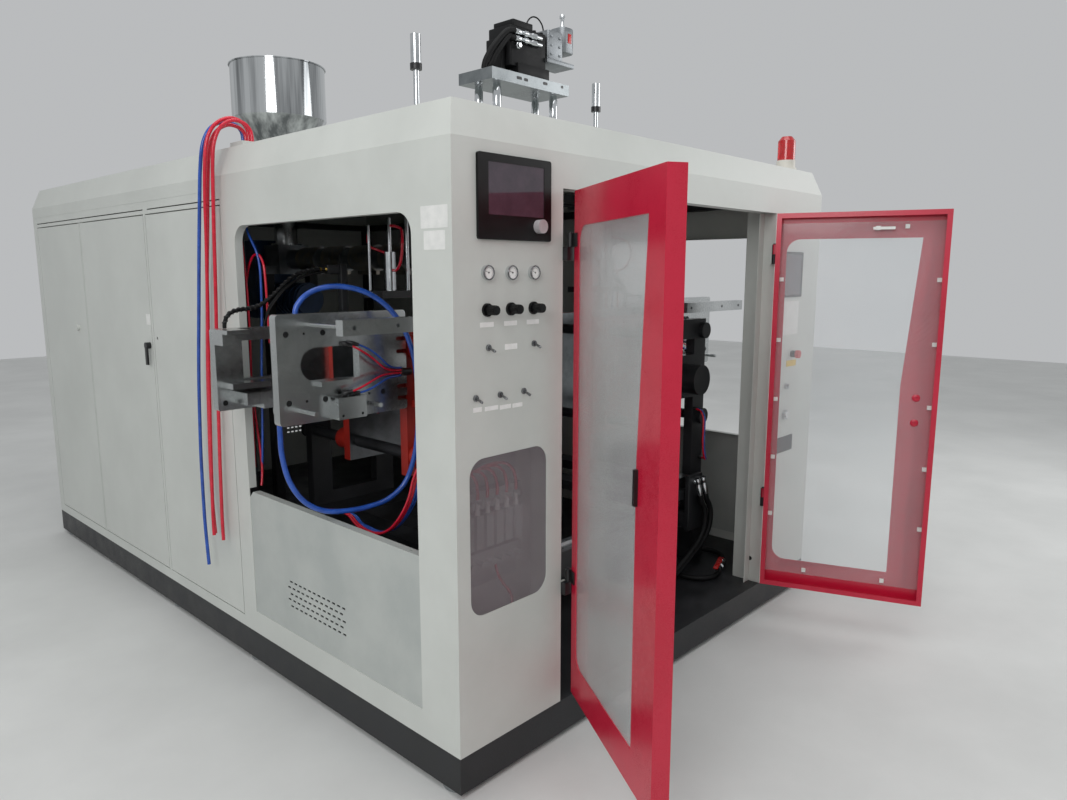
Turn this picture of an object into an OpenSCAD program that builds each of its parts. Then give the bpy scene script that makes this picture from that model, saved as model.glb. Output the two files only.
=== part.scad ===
// Double-station blow moulding machine.
// Lengths are millimetres. The machine stands on the floor, z = 0, its doors face -Y.
// Most pieces are drawn in the corner frame: u runs right from the left face, d runs back
// from the front face, z runs up. The right side mirrors the left side.

/* [Enclosure] */
// Width across the front
body_w = 2505; // [2480:5:2700]
// Depth from the front face to the back
body_d = 3980; // [3950:10:4300]
// Height of the walls' top edge
wall_top = 2095; // [2085:5:2200]
// Height of the walls' bottom edge
wall_bottom = 150; // [120:5:160]
// Rise of the roof above the walls
roof_rise = 112; // [80:2:150]
// Run of the roof's bevelled edge
roof_inset = 40; // [20:2:60]
// Thickness of the enclosure's sheet
sheet = 3; // [2:0.5:4]
// Depth of the seam between the window panel and the rear frame
seam_d = 1425; // [1400:5:1430]

/* [Side window] */
// Front edge of the window
window_d0 = 190; // [170:5:240]
// Distance of the window's rear edge from the seam
window_margin = 95; // [80:5:135]
// Height of the sill
window_sill = 790; // [760:5:820]
// Height of the window's top edge
window_top = 1890; // [1850:5:1920]
// Radius of the window's top corners
window_r = 70; // [40:5:100]
// Depth of the folded jambs
jamb = 33; // [25:1:50]
// Slots in each row of the sill guard's vent
vent_columns = 12; // [6:1:14]
// Rows of the sill guard's vent
vent_rows = 5; // [3:1:7]

/* [Front] */
// Width of each front pillar
pillar_w = 488; // [470:1:492]
// Depth of each front pillar
pillar_d = 150; // [140:5:160]
// Height of the doorway's top edge
doorway_top = 1980; // [1975:5:2000]
// Distance of a door's hinge axis from its side face
hinge_u = 515; // [512:1:520]
// Distance of the hinge axis in front of the front face
hinge_out = 10; // [8:1:14]
// Opening angle of the left door as it stands
left_door_angle = 121.5; // [90:0.5:125]
// Opening angle of the right door as it stands
right_door_angle = 110.5; // [90:0.5:125]

/* [Front doors] */
// Width of a door leaf
leaf_w = 720; // [700:1:722]
// Depth of the leaf's folded edge
leaf_depth = 56; // [50:1:70]
// Height of the leaf's bottom edge
leaf_bottom = 186; // [165:1:200]
// Height of the leaf's top edge
leaf_top = 1973; // [1950:1:1974]
// Width of the inner flange
leaf_flange = 22; // [15:1:30]
// Distance of the window from the hinge-side edge
pane_margin = 45; // [40:1:80]
// Width of the window at its top
pane_top_w = 570; // [520:5:600]
// Width of the window below the slant
pane_low_w = 522; // [480:2:560]
// Height of the window's bottom edge
pane_bottom = 310; // [280:5:360]
// Height of the window's top edge
pane_top = 1857; // [1820:1:1880]
// Height where the slant ends
pane_bend = 1200; // [1100:10:1300]
// Radius of the window's hinge-side corners
pane_r = 60; // [30:5:80]
// Thickness of the window sheet
pane_t = 5; // [3:0.5:8]
// Gap between the window sheet and the leaf's folded sides
pane_gap = 12; // [6:1:20]
// Gap between the window sheet and the leaf's lower fold
pane_low_gap = 60; // [40:1:80]
// Gap between the window sheet and the leaf's upper fold
pane_high_gap = 44; // [30:1:55]
// Radius of the hinge pins
hinge_pin_r = 6; // [5:0.5:7]
// Height of the lower hinge
hinge_low_z = 610; // [500:10:700]
// Height of the upper hinge
hinge_high_z = 1790; // [1700:10:1850]

/* [Access doors] */
// Width of the front bolted cover
cover_w = 780; // [700:10:790]
// Width of the first access door
access_w1 = 900; // [800:10:905]
// Distance of the second access door's rear edge from the back
access_margin = 70; // [60:5:120]
// Bottom of the side openings
access_z0 = 200; // [180:5:260]
// Top of the side openings
access_z1 = 1980; // [1900:5:1985]
// Depth of a door's folded edge
access_depth = 22; // [18:1:28]
// Gap round a side door
access_gap = 5; // [4:0.5:8]
// Height of the lock handle
lock_z = 1350; // [1200:10:1500]

/* [Base] */
// Thickness of the floor tray
tray_t = 8; // [5:1:10]
// Height of the feet's pads
pad_h = 14; // [10:1:20]
// Radius of the feet's pads
pad_r = 55; // [40:1:70]
// Width of the base's side rails
rail_w = 100; // [80:5:110]
// Side of the square posts
post = 60; // [50:1:64]
// Height of the top rails
top_rail_h = 42; // [30:1:50]

/* [Stations] */
// Distance of the blow pin's axis from its side face
blow_u = 655; // [640:5:670]
// Distance of the blow pin's axis in front of the clamp's middle plane
blow_ahead = 21; // [10:1:30]
// Distance of the middle plane between the platens in front of the seam
clamp_ahead = 440; // [435:1:445]
// Half the daylight between the platens
daylight = 185; // [180:1:200]
// Travel of each platen
platen_stroke = 110; // [90:5:120]
// Thickness of a platen
platen_t = 120; // [100:5:130]
// Half the width of a platen
platen_half_w = 255; // [240:5:260]
// Bottom edge of the platens
platen_z0 = 880; // [860:5:900]
// Top edge of the platens
platen_z1 = 1480; // [1460:5:1485]
// Radius of the tie bars
tie_r = 25; // [20:1:28]
// Spacing of the tie bars across the platen
tie_span_u = 410; // [390:5:420]
// Height of the lower tie bars
tie_low_z = 960; // [950:5:980]
// Height of the upper tie bars
tie_high_z = 1410; // [1390:5:1420]
// Spacing of the mould bolts
mould_pitch = 200; // [180:10:210]
// Radius of the mould bolt holes
mould_hole_r = 9; // [6:0.5:10]
// Radius of the clamp cylinders' rods
ram_r = 30; // [25:1:35]
// Travel of the carriage to the head
carriage_stroke = 597.5; // [560:0.5:600]
// Height of the guide rails' top
rail_top = 510; // [500:5:520]
// Width of a guide rail
guide_w = 30; // [25:1:35]

/* [Trim plates] */
// Distance that the trim plates stand out of the wall
trim_out = 170; // [140:5:185]
// Thickness of a trim plate
trim_t = 40; // [30:1:45]
// Right end of the trim plates
trim_end = 385; // [380:1:390]
// Bottom of the trim plates
trim_z0 = 1170; // [1150:5:1190]
// Top of the front trim plate
trim_z1 = 1562; // [1550:1:1570]
// Top of the rear trim plate
rear_trim_z1 = 1490; // [1470:5:1500]
// Radius of the trim plates' dowel holes
dowel_r = 11; // [8:0.5:13]

/* [Roof equipment] */
// Distance of the hopper's axis from the back
hopper_back = 850; // [830:10:980]
// Radius of the hopper
hopper_r = 295; // [250:5:320]
// Height of the hopper's rim
hopper_rim = 3015; // [2950:5:3050]
// Bottom of the hopper's straight wall
hopper_shoulder = 2685; // [2660:5:2700]
// Radius of the hopper's throat
throat_r = 75; // [65:1:80]
// Wall of the hopper
hopper_wall = 2; // [1.5:0.5:3]
// Height of the head platform's underside
platform_z = 2550; // [2500:5:2580]
// Thickness of the head platform
platform_t = 50; // [30:1:55]
// Height of the blow pin adjuster's stop collar
adjuster_z = 2540; // [2500:5:2560]

/* [Extruder] */
// Height of the barrel's axis
barrel_z = 1790; // [1780:1:1800]
// Radius of the barrel
barrel_r = 62; // [58:1:66]
// Radius of the barrel's bore
bore_r = 33; // [32:0.5:36]
// Heater bands on the barrel
band_count = 6; // [4:1:7]

/* [Hidden] */
$fn = 48;

run_gap = 0.05;    // radial clearance of a turning or sliding fit
seat_gap = 0.3;    // clearance between moving faces
roof_top = wall_top + roof_rise;
mid_u = body_w / 2;
window_d1 = seam_d - window_margin;
clamp_d = seam_d - clamp_ahead;
blow_d = clamp_d - blow_ahead;
hopper_d = body_d - hopper_back;

// reach of the open right door in front of the front face
leaf_x0 = 12;
leaf_x1 = leaf_x0 + leaf_w;
leaf_y0 = hinge_out;
leaf_y1 = hinge_out + leaf_depth;
function door_reach(angle) = hinge_out + leaf_x1 * sin(angle) - leaf_y1 * cos(angle);
front_y = -(body_d - max(door_reach(left_door_angle), door_reach(right_door_angle))) / 2;

// the base's beams carry the walls, and the tray lies flush with their top
nut_h = 8;
base_z = pad_h + nut_h;
tray_top = wall_bottom;
foot_u = pad_r + 8;
top_rail_z = wall_top - sheet - top_rail_h;

// depths of the cross beams that hold the head and the blow cylinders
beam_w = 60;
column_u = 190;
head_beam_front = blow_d - 24 - beam_w;
head_beam_rear = blow_d + 36;

// clamp, from the middle plane
front_face = clamp_d - daylight;
rear_face = clamp_d + daylight;
end_plate_t = 50;
end_plate_gap = 230;
front_end = front_face - platen_t - end_plate_gap - end_plate_t;
rear_end = rear_face + platen_t + end_plate_gap;
ram_z = 1180;
carriage_z = rail_top + 30;
carriage_t = 50;
bed_front = front_end + 30;
bed_rear = rear_end + end_plate_t - 30 - 80;
bed_w = 80;
ear_w = 70;
ear_t = 30;

// access openings, from the seam
cover_d0 = seam_d + 15;
door1_d0 = cover_d0 + cover_w + 20;
door2_d0 = door1_d0 + access_w1 + 10;
access_w2 = body_d - access_margin - door2_d0;
pivot_in = 13;

// operator panel and valves on the left pillar
hmi_lo = [96, 1804];
hmi_hi = [418, 2057];
hmi_knob_at = [355, 1850];
gauge_r = 22.5;
gauge_u = [135, 238, 341];
gauge_z = 1705;
regulator_z = 1592;
toggles = [[140, 1476], [345, 1476], [84, 1324], [189, 1324], [296, 1324]];
pillar_pane_lo = [55, 610];
pillar_pane_hi = [410, 1130];

// right pillar's controls
stop_at = [body_w - 255, 1300];
button_at = [body_w - 305, 995];
display_lo = [body_w - 410, 1585];
display_hi = [body_w - 190, 1805];
key_at = [body_w - 305, 1140];
beacon_in = 165;

// extruder
barrel_d0 = blow_d + 170;
barrel_d1 = hopper_d + 150;
feed_half = 95;
gearbox_d1 = barrel_d1 + 330;
screw_turns = 30;
screw_r = bore_r - 0.6;
screw_core_r = 22;
shaft_r = 26;
stand_u = 130;
motor_r = 100;
motor_z = barrel_z - 260;

// route points of the free hoses, corner frame
hose_r = 7.5;
hose_sides = 8;
hose_exit_z = roof_top + 22;
route_red_1 = [[110, 1350, hose_exit_z], [110, 1350, 2236], [110, 1350, 2245], [104, 1352, 2276],
  [80, 1356, 2300], [36, 1362, 2306], [-10, 1370, 2276], [-36, 1380, 2215], [-42, 1392, 2130],
  [-40, 1410, 2000], [-36, 1432, 1850], [-32, 1452, 1700], [-30, 1470, 1540], [-30, 1486, 1380],
  [-30, 1500, 1220], [-30, 1512, 1060], [-32, 1520, 900], [-34, 1524, 760], [-38, 1522, 640],
  [-42, 1514, 540]];
route_red_2 = [[110, 1375, hose_exit_z], [110, 1375, 2236], [110, 1375, 2246], [103, 1377, 2284],
  [76, 1380, 2312], [28, 1386, 2316], [-24, 1394, 2284], [-54, 1404, 2222], [-62, 1418, 2130],
  [-60, 1440, 2000], [-54, 1464, 1850], [-50, 1488, 1700], [-48, 1508, 1540], [-48, 1526, 1380],
  [-48, 1542, 1220], [-48, 1556, 1060], [-50, 1566, 900], [-54, 1568, 760], [-60, 1562, 650],
  [-66, 1550, 560]];
route_red_3 = [[110, 1400, hose_exit_z], [110, 1400, 2236], [110, 1400, 2244], [105, 1402, 2270],
  [82, 1406, 2290], [38, 1412, 2294], [-6, 1420, 2264], [-30, 1430, 2210], [-36, 1446, 2120],
  [-34, 1474, 1990], [-30, 1506, 1840], [-28, 1536, 1690], [-26, 1562, 1530], [-26, 1584, 1370],
  [-26, 1602, 1210], [-26, 1616, 1050], [-28, 1624, 890], [-30, 1624, 760], [-34, 1614, 650],
  [-38, 1598, 550]];
route_blue = [[110, 1425, hose_exit_z], [110, 1425, 2236], [110, 1425, 2246], [104, 1427, 2280],
  [78, 1431, 2304], [30, 1437, 2308], [-20, 1445, 2276], [-48, 1456, 2214], [-56, 1474, 2120],
  [-54, 1504, 1990], [-50, 1540, 1840], [-46, 1574, 1690], [-44, 1604, 1530], [-44, 1630, 1370],
  [-44, 1652, 1210], [-44, 1668, 1050], [-46, 1676, 890], [-48, 1676, 740], [-52, 1668, 600],
  [-56, 1652, 480], [-60, 1636, 400]];
loop_r = 10;
loop_start = [-60, 790, 1520];
loop_end = [-140, 790, 1208];
route_loop = [loop_start, [-60, 790, 1532], [-60, 790, 1546], [-50, 787, 1590], [-10, 774, 1632],
  [50, 748, 1654], [120, 716, 1652], [190, 684, 1626], [255, 656, 1572], [308, 636, 1490],
  [338, 623, 1390], [348, 616, 1270], [345, 613, 1140], [327, 616, 1010], [290, 630, 905],
  [225, 652, 846], [150, 680, 824], [70, 706, 820], [-10, 734, 832], [-75, 758, 876],
  [-120, 776, 955], [-138, 787, 1050], [-140, 790, 1130], [-140, 790, 1170], loop_end];

module corner() {
  translate([-mid_u, front_y, 0]) children();
}

// a box from its lowest to its highest corner
module block(lo, hi) {
  translate(lo) cube(hi - lo);
}

module rod_x(u0, u1, d, z, r) {
  translate([u0, d, z]) rotate([0, 90, 0]) cylinder(r = r, h = u1 - u0);
}

module rod_y(u, d0, d1, z, r) {
  translate([u, d0, z]) rotate([-90, 0, 0]) cylinder(r = r, h = d1 - d0);
}

module rod_z(u, d, z0, z1, r) {
  translate([u, d, z0]) cylinder(r = r, h = z1 - z0);
}

// an outline in (d, z), pulled from the left face inwards
module on_side(t) {
  rotate([90, 0, 90]) linear_extrude(t) children();
}

// an outline in (u, z), pulled back from depth d0
module on_front(d0, t) {
  translate([0, d0 + t, 0]) rotate([90, 0, 0]) linear_extrude(t) children();
}

module rect(lo, hi) {
  translate(lo) square(hi - lo);
}

module rounded(lo, hi, r) {
  rect([lo[0] + r, lo[1]], [hi[0] - r, hi[1]]);
  rect([lo[0], lo[1] + r], [hi[0], hi[1] - r]);
  for (x = [lo[0] + r, hi[0] - r], y = [lo[1] + r, hi[1] - r]) translate([x, y]) circle(r);
}

// a rounded outline with a straight lower edge
module arched(lo, hi, r) {
  rounded(lo, hi, r);
  rect(lo, [hi[0], lo[1] + 2 * r]);
}

// unit vector, cross product frame and one ring of a swept tube
function unit(v) = v / norm(v);
function tangent(p, i) = unit(p[min(i + 1, len(p) - 1)] - p[max(i - 1, 0)]);
function side_of(t) = unit(cross(t, abs(t[1]) < 0.9 ? [0, 1, 0] : [1, 0, 0]));
function ring(c, t, r, n) = let (s = side_of(t), w = cross(t, s))
  [for (k = [0:n - 1]) c + r * (cos(360 * k / n) * s + sin(360 * k / n) * w)];

// one point of the smooth curve through four route points
function curve(a, b, c, d, s) = 0.5 * (2 * b + (c - a) * s + (2 * a - 5 * b + 4 * c - d) * s * s
  + (3 * b - a - 3 * c + d) * s * s * s);
function smooth(p, n) = [for (i = [0:len(p) - 2], k = [0:n - 1])
    curve(p[max(i - 1, 0)], p[i], p[i + 1], p[min(i + 2, len(p) - 1)], k / n),
  p[len(p) - 1]];

module tube(route, r, n) {
  m = len(route);
  points = [for (i = [0:m - 1]) each ring(route[i], tangent(route, i), r, n)];
  walls = [for (i = [0:m - 2], k = [0:n - 1])
    [i * n + k, (i + 1) * n + k, (i + 1) * n + (k + 1) % n, i * n + (k + 1) % n]];
  ends = [[for (k = [0:n - 1]) k], [for (k = [n - 1:-1:0]) (m - 1) * n + k]];
  polyhedron(points, concat(walls, ends));
}

// Base

module base_frame() color("#1c1d1f") corner() {
  block([1, 1, tray_top - tray_t], [body_w - 1, body_d - 1, tray_top]);
  // beams under the walls, and one under the seam
  for (u = [0, body_w - rail_w]) block([u, 0, base_z], [u + rail_w, body_d, wall_bottom]);
  for (d = [0, seam_d - rail_w / 2, body_d - rail_w])
    block([rail_w - 1, d, base_z], [body_w - rail_w + 1, d + rail_w, wall_bottom]);
  // posts at the seams and at the rear corners
  for (u = [sheet, body_w - sheet - post], d = [seam_d + 5 - post, body_d - sheet - post])
    block([u, d, wall_bottom - 1], [u + post, d + post, top_rail_z + 1]);
  // top rails and cross beams
  for (u = [sheet, body_w - sheet - post])
    block([u, pillar_d, top_rail_z], [u + post, body_d - sheet, wall_top - sheet]);
  for (d = [head_beam_front, head_beam_rear, body_d - sheet - post])
    block([sheet, d, top_rail_z], [body_w - sheet, d + beam_w, wall_top - sheet]);
  // bed beams that carry the guide rails, on pedestals
  for (d = [bed_front, bed_rear]) {
    block([330, d, rail_top - 30 - 120], [body_w - 330, d + bed_w, rail_top - 30]);
    for (u = [330, mid_u - 60, body_w - 330 - 120])
      block([u, d, tray_top - 1], [u + 120, d + bed_w, rail_top - 140]);
  }
  // stand under the extruder
  for (u = [mid_u - stand_u - post, mid_u + stand_u])
    block([u, hopper_d - 60, tray_top - 1], [u + post, hopper_d, barrel_z - feed_half]);
}

// feet under the base's side beams
foot_places = [for (u = [foot_u, body_w - foot_u],
  d = [80, seam_d - 25, door1_d0 - 10, door2_d0 - 5, body_d - 90]) [u, d]];

module levelling_feet() color("#4a4c4e") corner() {
  for (p = foot_places) {
    rod_z(p[0], p[1], 0, pad_h, pad_r);
    translate([p[0], p[1], pad_h - 1]) cylinder(r = 20, h = nut_h + 1, $fn = 6);
  }
}

// Enclosure

// the roof's solid outline from a foot up, drawn in by a distance on every face
module roof_form(inset, foot) {
  half = mid_u - inset;
  intersection() {
    translate([mid_u, body_d, 0]) rotate([90, 0, 0]) linear_extrude(body_d)
      polygon([[-half, foot], [half, foot],
        [half - roof_inset, roof_top - inset], [roof_inset - half, roof_top - inset]]);
    rotate([90, 0, 90]) linear_extrude(body_w)
      polygon([[inset, foot], [body_d - inset, foot],
        [body_d - inset - roof_inset, roof_top - inset], [inset + roof_inset, roof_top - inset]]);
  }
}

module roof_cover() color("#c4c7c2") corner() difference() {
  union() {
    difference() {
      roof_form(0, wall_top);
      roof_form(sheet, wall_top - 1);
    }
    // boss that the free hoses come out of
    block([60, 1335, roof_top - sheet], [160, 1440, hose_exit_z]);
  }
  for (u = [blow_u, body_w - blow_u]) rod_z(u, blow_d, wall_top, roof_top + 1, 17);
  rod_z(mid_u, hopper_d, wall_top, roof_top + 1, throat_r + 5);
  block([mid_u - column_u - 20, head_beam_front, wall_top],
    [mid_u + column_u + 20, head_beam_rear + beam_w, roof_top + 1]);
}

module window_opening(grow) {
  arched([window_d0 - grow, window_sill - grow], [window_d1 + grow, window_top + grow],
    window_r + grow);
}

module window_panel() color("#c4c7c2") corner() {
  on_side(sheet) difference() {
    rect([sheet, wall_bottom], [seam_d, wall_top]);
    window_opening(0);
    rect([window_d0, wall_bottom + 100], [window_d1, window_sill + 2 * window_r]);
  }
  // folded jambs and head, above the sill
  on_side(jamb) difference() {
    window_opening(sheet);
    window_opening(0);
    rect([0, 0], [body_d, window_sill + 12]);
  }
  // top flange, over the top rail
  block([0, sheet, wall_top - sheet], [30, seam_d, wall_top]);
}

module left_window_panel() window_panel();

module right_window_panel() mirror([1, 0, 0]) window_panel();

module sill_guard() corner() {
  lap = 15;
  lo = [window_d0 - lap, wall_bottom + 50];
  hi = [window_d1 + lap, window_sill];
  pitch_d = 34;
  pitch_z = 26;
  vent_d = 640;
  vent_z = 360;
  translate([sheet, 0, 0]) on_side(sheet) difference() {
    polygon([lo, [hi[0], lo[1]], [hi[0], hi[1] - 40], [hi[0] - 40, hi[1]], [lo[0], hi[1]]]);
    for (i = [0:vent_columns - 1], j = [0:vent_rows - 1])
      translate([vent_d + i * pitch_d + (j % 2) * pitch_d / 2, vent_z + j * pitch_z])
        square([22, 8]);
  }
  // hem along the sill, with its screw holes
  difference() {
    block([sheet, lo[0], hi[1] - sheet], [sheet + 32, hi[0] - 40, hi[1]]);
    for (d = [lo[0] + 80, (lo[0] + hi[0]) / 2, hi[0] - 100])
      rod_z(sheet + 18, d, hi[1] - 2 * sheet, hi[1] + 1, 4.5);
  }
}

module sill_guards() color("#b4b8b4") {
  sill_guard();
  mirror([1, 0, 0]) sill_guard();
}

// the outline of a side opening, drawn in by a gap
module access_outline(d0, w, gap) {
  rect([d0 + gap, access_z0 + gap], [d0 + w - gap, access_z1 - gap]);
}

module left_rear_frame() color("#c4c7c2") corner() difference() {
  union() {
    on_side(sheet) difference() {
      rect([seam_d, wall_bottom], [body_d, wall_top]);
      access_outline(cover_d0, cover_w, 0);
      access_outline(door1_d0, access_w1, 0);
      access_outline(door2_d0, access_w2, 0);
    }
    // returns round the three openings
    on_side(30) {
      difference() { access_outline(cover_d0, cover_w, -sheet); access_outline(cover_d0, cover_w, 0); }
      difference() { access_outline(door1_d0, access_w1, -sheet); access_outline(door1_d0, access_w1, 0); }
      difference() { access_outline(door2_d0, access_w2, -sheet); access_outline(door2_d0, access_w2, 0); }
    }
    block([0, seam_d, wall_top - sheet], [30, body_d - sheet, wall_top]);
  }
  // rain slots over the doors and the groove above them
  block([-1, cover_d0, access_z1 + 18], [sheet + 1, cover_d0 + cover_w - 30, access_z1 + 23]);
  block([-1, door1_d0, access_z1 + 18], [sheet + 1, door2_d0 + access_w2, access_z1 + 23]);
  block([-1, seam_d - 1, access_z1 + 56], [1, body_d + 1, access_z1 + 59]);
  // pivot holes of the two doors
  for (p = [door1_d0 + access_w1, door2_d0 + access_w2])
    rod_z(access_depth / 2, p - access_gap - pivot_in, access_z0 - 10, access_z1 + 10, 5 + run_gap);
}

// a folded leaf that fills a side opening
module access_leaf(d0, w) {
  on_side(sheet) access_outline(d0, w, access_gap);
  on_side(access_depth) difference() {
    access_outline(d0, w, access_gap);
    access_outline(d0, w, access_gap + 2);
  }
  // hat stiffener
  translate([sheet - 0.5, 0, 0]) on_side(access_depth - 6)
    rect([d0 + w / 2 - 30, access_z0 + 120], [d0 + w / 2 + 30, access_z1 - 120]);
}

module side_cover() color("#c4c7c2") corner() difference() {
  union() {
    access_leaf(cover_d0, cover_w);
    // lugs that bolt to the frame's returns
    for (z = [access_z0 + 150, (access_z0 + access_z1) / 2, access_z1 - 150], s = [0, 1])
      translate([0, cover_d0 + s * cover_w, z]) mirror([0, s, 0])
        block([10, 0, -20], [16, access_gap + 1, 20]);
  }
  rod_x(-1, sheet + 1, cover_d0 + cover_w - 40, 1390, 8);
}

module access_door(d0, w) corner() difference() {
  union() {
    access_leaf(d0, w);
    for (z = [access_z0 - sheet - 2, access_z1 - access_gap - 1])
      rod_z(access_depth / 2, d0 + w - access_gap - pivot_in, z, z + sheet + access_gap + 3, 5);
  }
}

module access_door_1() color("#c4c7c2") difference() {
  access_door(door1_d0, access_w1);
  corner() rod_x(-1, 40, door1_d0 + 34, lock_z, 8 + run_gap);
}

module access_door_2() color("#c4c7c2") {
  access_door(door2_d0, access_w2);
  // round key lock
  corner() rod_x(-14, 1, door2_d0 + 150, lock_z + 40, 17);
}

module access_handle() color("#3a3c3e") corner() translate([0, door1_d0 + 34, lock_z]) {
  rotate([0, 90, 0]) translate([0, 0, -12]) cylinder(r = 8, h = 32);
  // swept grip outside and latch tongue inside
  translate([-24, 0, 0]) rotate([0, 90, 0]) cylinder(r = 16, h = 23.6);
  block([-24, -10, -95], [-14, 10, 0]);
  block([8, -8, -30], [12, 8, 8]);
}

module right_rear_panel() color("#c4c7c2") mirror([1, 0, 0]) corner() difference() {
  union() {
    on_side(sheet) rect([seam_d, wall_bottom], [body_d, wall_top]);
    block([0, seam_d, wall_top - sheet], [30, body_d - sheet, wall_top]);
    // screwed covers
    translate([-2, 0, 0]) on_side(3) {
      access_outline(cover_d0, cover_w, access_gap);
      access_outline(door1_d0, access_w1, access_gap);
      access_outline(door2_d0, access_w2, access_gap);
    }
  }
  for (i = [0:9], j = [0:3])
    block([-3, door1_d0 + 270 + i * 36, 420 + j * 34], [sheet + 1, door1_d0 + 292 + i * 36, 432 + j * 34]);
}

module rear_panel() color("#c4c7c2") corner() difference() {
  union() {
    on_front(body_d - sheet, sheet) rect([sheet, wall_bottom], [body_w - sheet, wall_top]);
    block([sheet + post, body_d - 30, wall_top - sheet], [body_w - sheet - post, body_d, wall_top]);
  }
  for (s = [-1, 1], i = [-5:5], j = [0:5])
    block([mid_u + s * 600 + i * 36 - 11, body_d - sheet - 1, 420 + j * 34],
      [mid_u + s * 600 + i * 36 + 11, body_d + 1, 432 + j * 34]);
}

// Front

// fixed half of a door hinge: block below the knuckle with its pin
module hinge_block(z) {
  block([pillar_w - 1, -hinge_out - 11, z - 45], [hinge_u, 12, z]);
  rod_z(hinge_u, -hinge_out, z - 45, z, 11);
  rod_z(hinge_u, -hinge_out, z - 1, z + 50, hinge_pin_r);
}

module pillar_shell() corner() {
  // return, back, and the stop that the closed door lies against
  block([pillar_w - sheet, 1, wall_bottom], [pillar_w, pillar_d, wall_top]);
  block([sheet, pillar_d - sheet, wall_bottom], [pillar_w, pillar_d, wall_top - sheet]);
  block([pillar_w - 1, leaf_depth + 4, wall_bottom], [hinge_u + 22, leaf_depth + 7, doorway_top]);
  for (z = [hinge_low_z, hinge_high_z]) hinge_block(z);
}

module front_left_pillar() color("#c4c7c2") {
  corner() difference() {
    on_front(0, sheet) difference() {
      rect([0, wall_bottom], [pillar_w, wall_top]);
      rounded(pillar_pane_lo, pillar_pane_hi, 60);
      rect(hmi_lo + [20, 20], hmi_hi - [20, 20]);
    }
    for (u = gauge_u) {
      rod_y(u, -1, sheet + 1, gauge_z, gauge_r - 3);
      rod_y(u, -1, sheet + 1, regulator_z, 14.5);
    }
    for (p = toggles) rod_y(p[0], -1, sheet + 1, p[1], 6.5);
  }
  pillar_shell();
}

module front_right_pillar() color("#c4c7c2") {
  corner() difference() {
    on_front(0, sheet) rect([body_w - pillar_w, wall_bottom], [body_w, wall_top]);
    rod_y(stop_at[0], -1, sheet + 1, stop_at[1], 12);
    rod_y(button_at[0], -1, sheet + 1, button_at[1], 16);
  }
  mirror([1, 0, 0]) pillar_shell();
}

module front_header() color("#c4c7c2") corner() {
  block([pillar_w, 0, doorway_top], [body_w - pillar_w, sheet, wall_top]);
  block([hinge_u + 24, sheet - 1, doorway_top], [body_w - hinge_u - 24, 60, doorway_top + sheet]);
  block([pillar_w, sheet - 1, wall_top - sheet], [body_w - pillar_w, pillar_d, wall_top]);
}

module pillar_window() color("#2a2d30", 0.6) corner()
  on_front(sheet, 4) rounded(pillar_pane_lo - [15, 15], pillar_pane_hi + [15, 15], 60);

// valve island behind the pane: plate on the pillar's back, valve blocks and fittings
module valve_manifold() color("#7d8083") corner() {
  block([70, pillar_d - sheet - 8, 640], [400, pillar_d - sheet, 1100]);
  block([95, 90, 930], [375, pillar_d - sheet - 7, 990]);
  block([95, 90, 720], [375, pillar_d - sheet - 7, 780]);
  for (i = [0:5]) {
    block([104 + i * 45, 70, 800], [136 + i * 45, pillar_d - sheet - 7, 915]);
    rod_y(120 + i * 45, 56, 92, 960, 8);
    rod_y(120 + i * 45, 56, 92, 750, 8);
  }
}

module pressure_gauges() color("#c9ccd0") corner() for (u = gauge_u) {
  difference() {
    rod_y(u, -14, 0, gauge_z, gauge_r);
    rod_y(u, -15, -11, gauge_z, gauge_r - 3.5);
  }
  rod_y(u, -1, 34, gauge_z, gauge_r - 4.5);
}

// three regulators and five toggle valves, as panel bodies
module panel_valves() color("#1b1b1c") corner() {
  for (u = gauge_u) difference() {
    union() {
      rod_y(u, -8, 0, regulator_z, 20.5);
      rod_y(u, -1, 12, regulator_z, 14);
      block([u - 18, 12, regulator_z - 22], [u + 18, 58, regulator_z + 22]);
    }
    rod_y(u, -9, 10, regulator_z, 5 + run_gap);
  }
  for (p = toggles) {
    rod_y(p[0], -6, 0, p[1], 9);
    rod_y(p[0], -1, 40, p[1], 6);
    translate([p[0], -5, p[1]]) rotate([112, 0, 0]) cylinder(r1 = 2.5, r2 = 4, h = 24);
  }
}

module regulator_knob(u) color("#141414") corner() {
  rod_y(u, -46, -8 - seat_gap, regulator_z, 14);
  rod_y(u, -9, 8, regulator_z, 5);
  // grip ribs
  for (a = [0:30:330]) translate([u, 0, regulator_z]) rotate([0, a, 0])
    block([13, -44, -1.5], [15, -22, 1.5]);
}

module regulator_knob_1() regulator_knob(gauge_u[0]);
module regulator_knob_2() regulator_knob(gauge_u[1]);
module regulator_knob_3() regulator_knob(gauge_u[2]);

module hmi_panel() color("#17181a") corner() difference() {
  union() {
    on_front(-10, 10) rounded(hmi_lo, hmi_hi, 8);
    block([hmi_lo[0] + 22, -1, hmi_lo[1] + 22], [hmi_hi[0] - 22, 55, hmi_hi[1] - 22]);
  }
  // recessed screen
  block([hmi_lo[0] + 42, -11, hmi_lo[1] + 74], [hmi_hi[0] - 34, -8.5, hmi_hi[1] - 24]);
  rod_y(hmi_knob_at[0], -11, 6, hmi_knob_at[1], 4 + run_gap);
}

module hmi_knob() color("#c0c3c6") corner() {
  rod_y(hmi_knob_at[0], -34, -10 - seat_gap, hmi_knob_at[1], 21.5);
  rod_y(hmi_knob_at[0], -11, 4, hmi_knob_at[1], 4);
  // finger dimple's raised pointer
  rod_y(hmi_knob_at[0] + 12, -36, -33, hmi_knob_at[1], 3);
}

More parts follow.
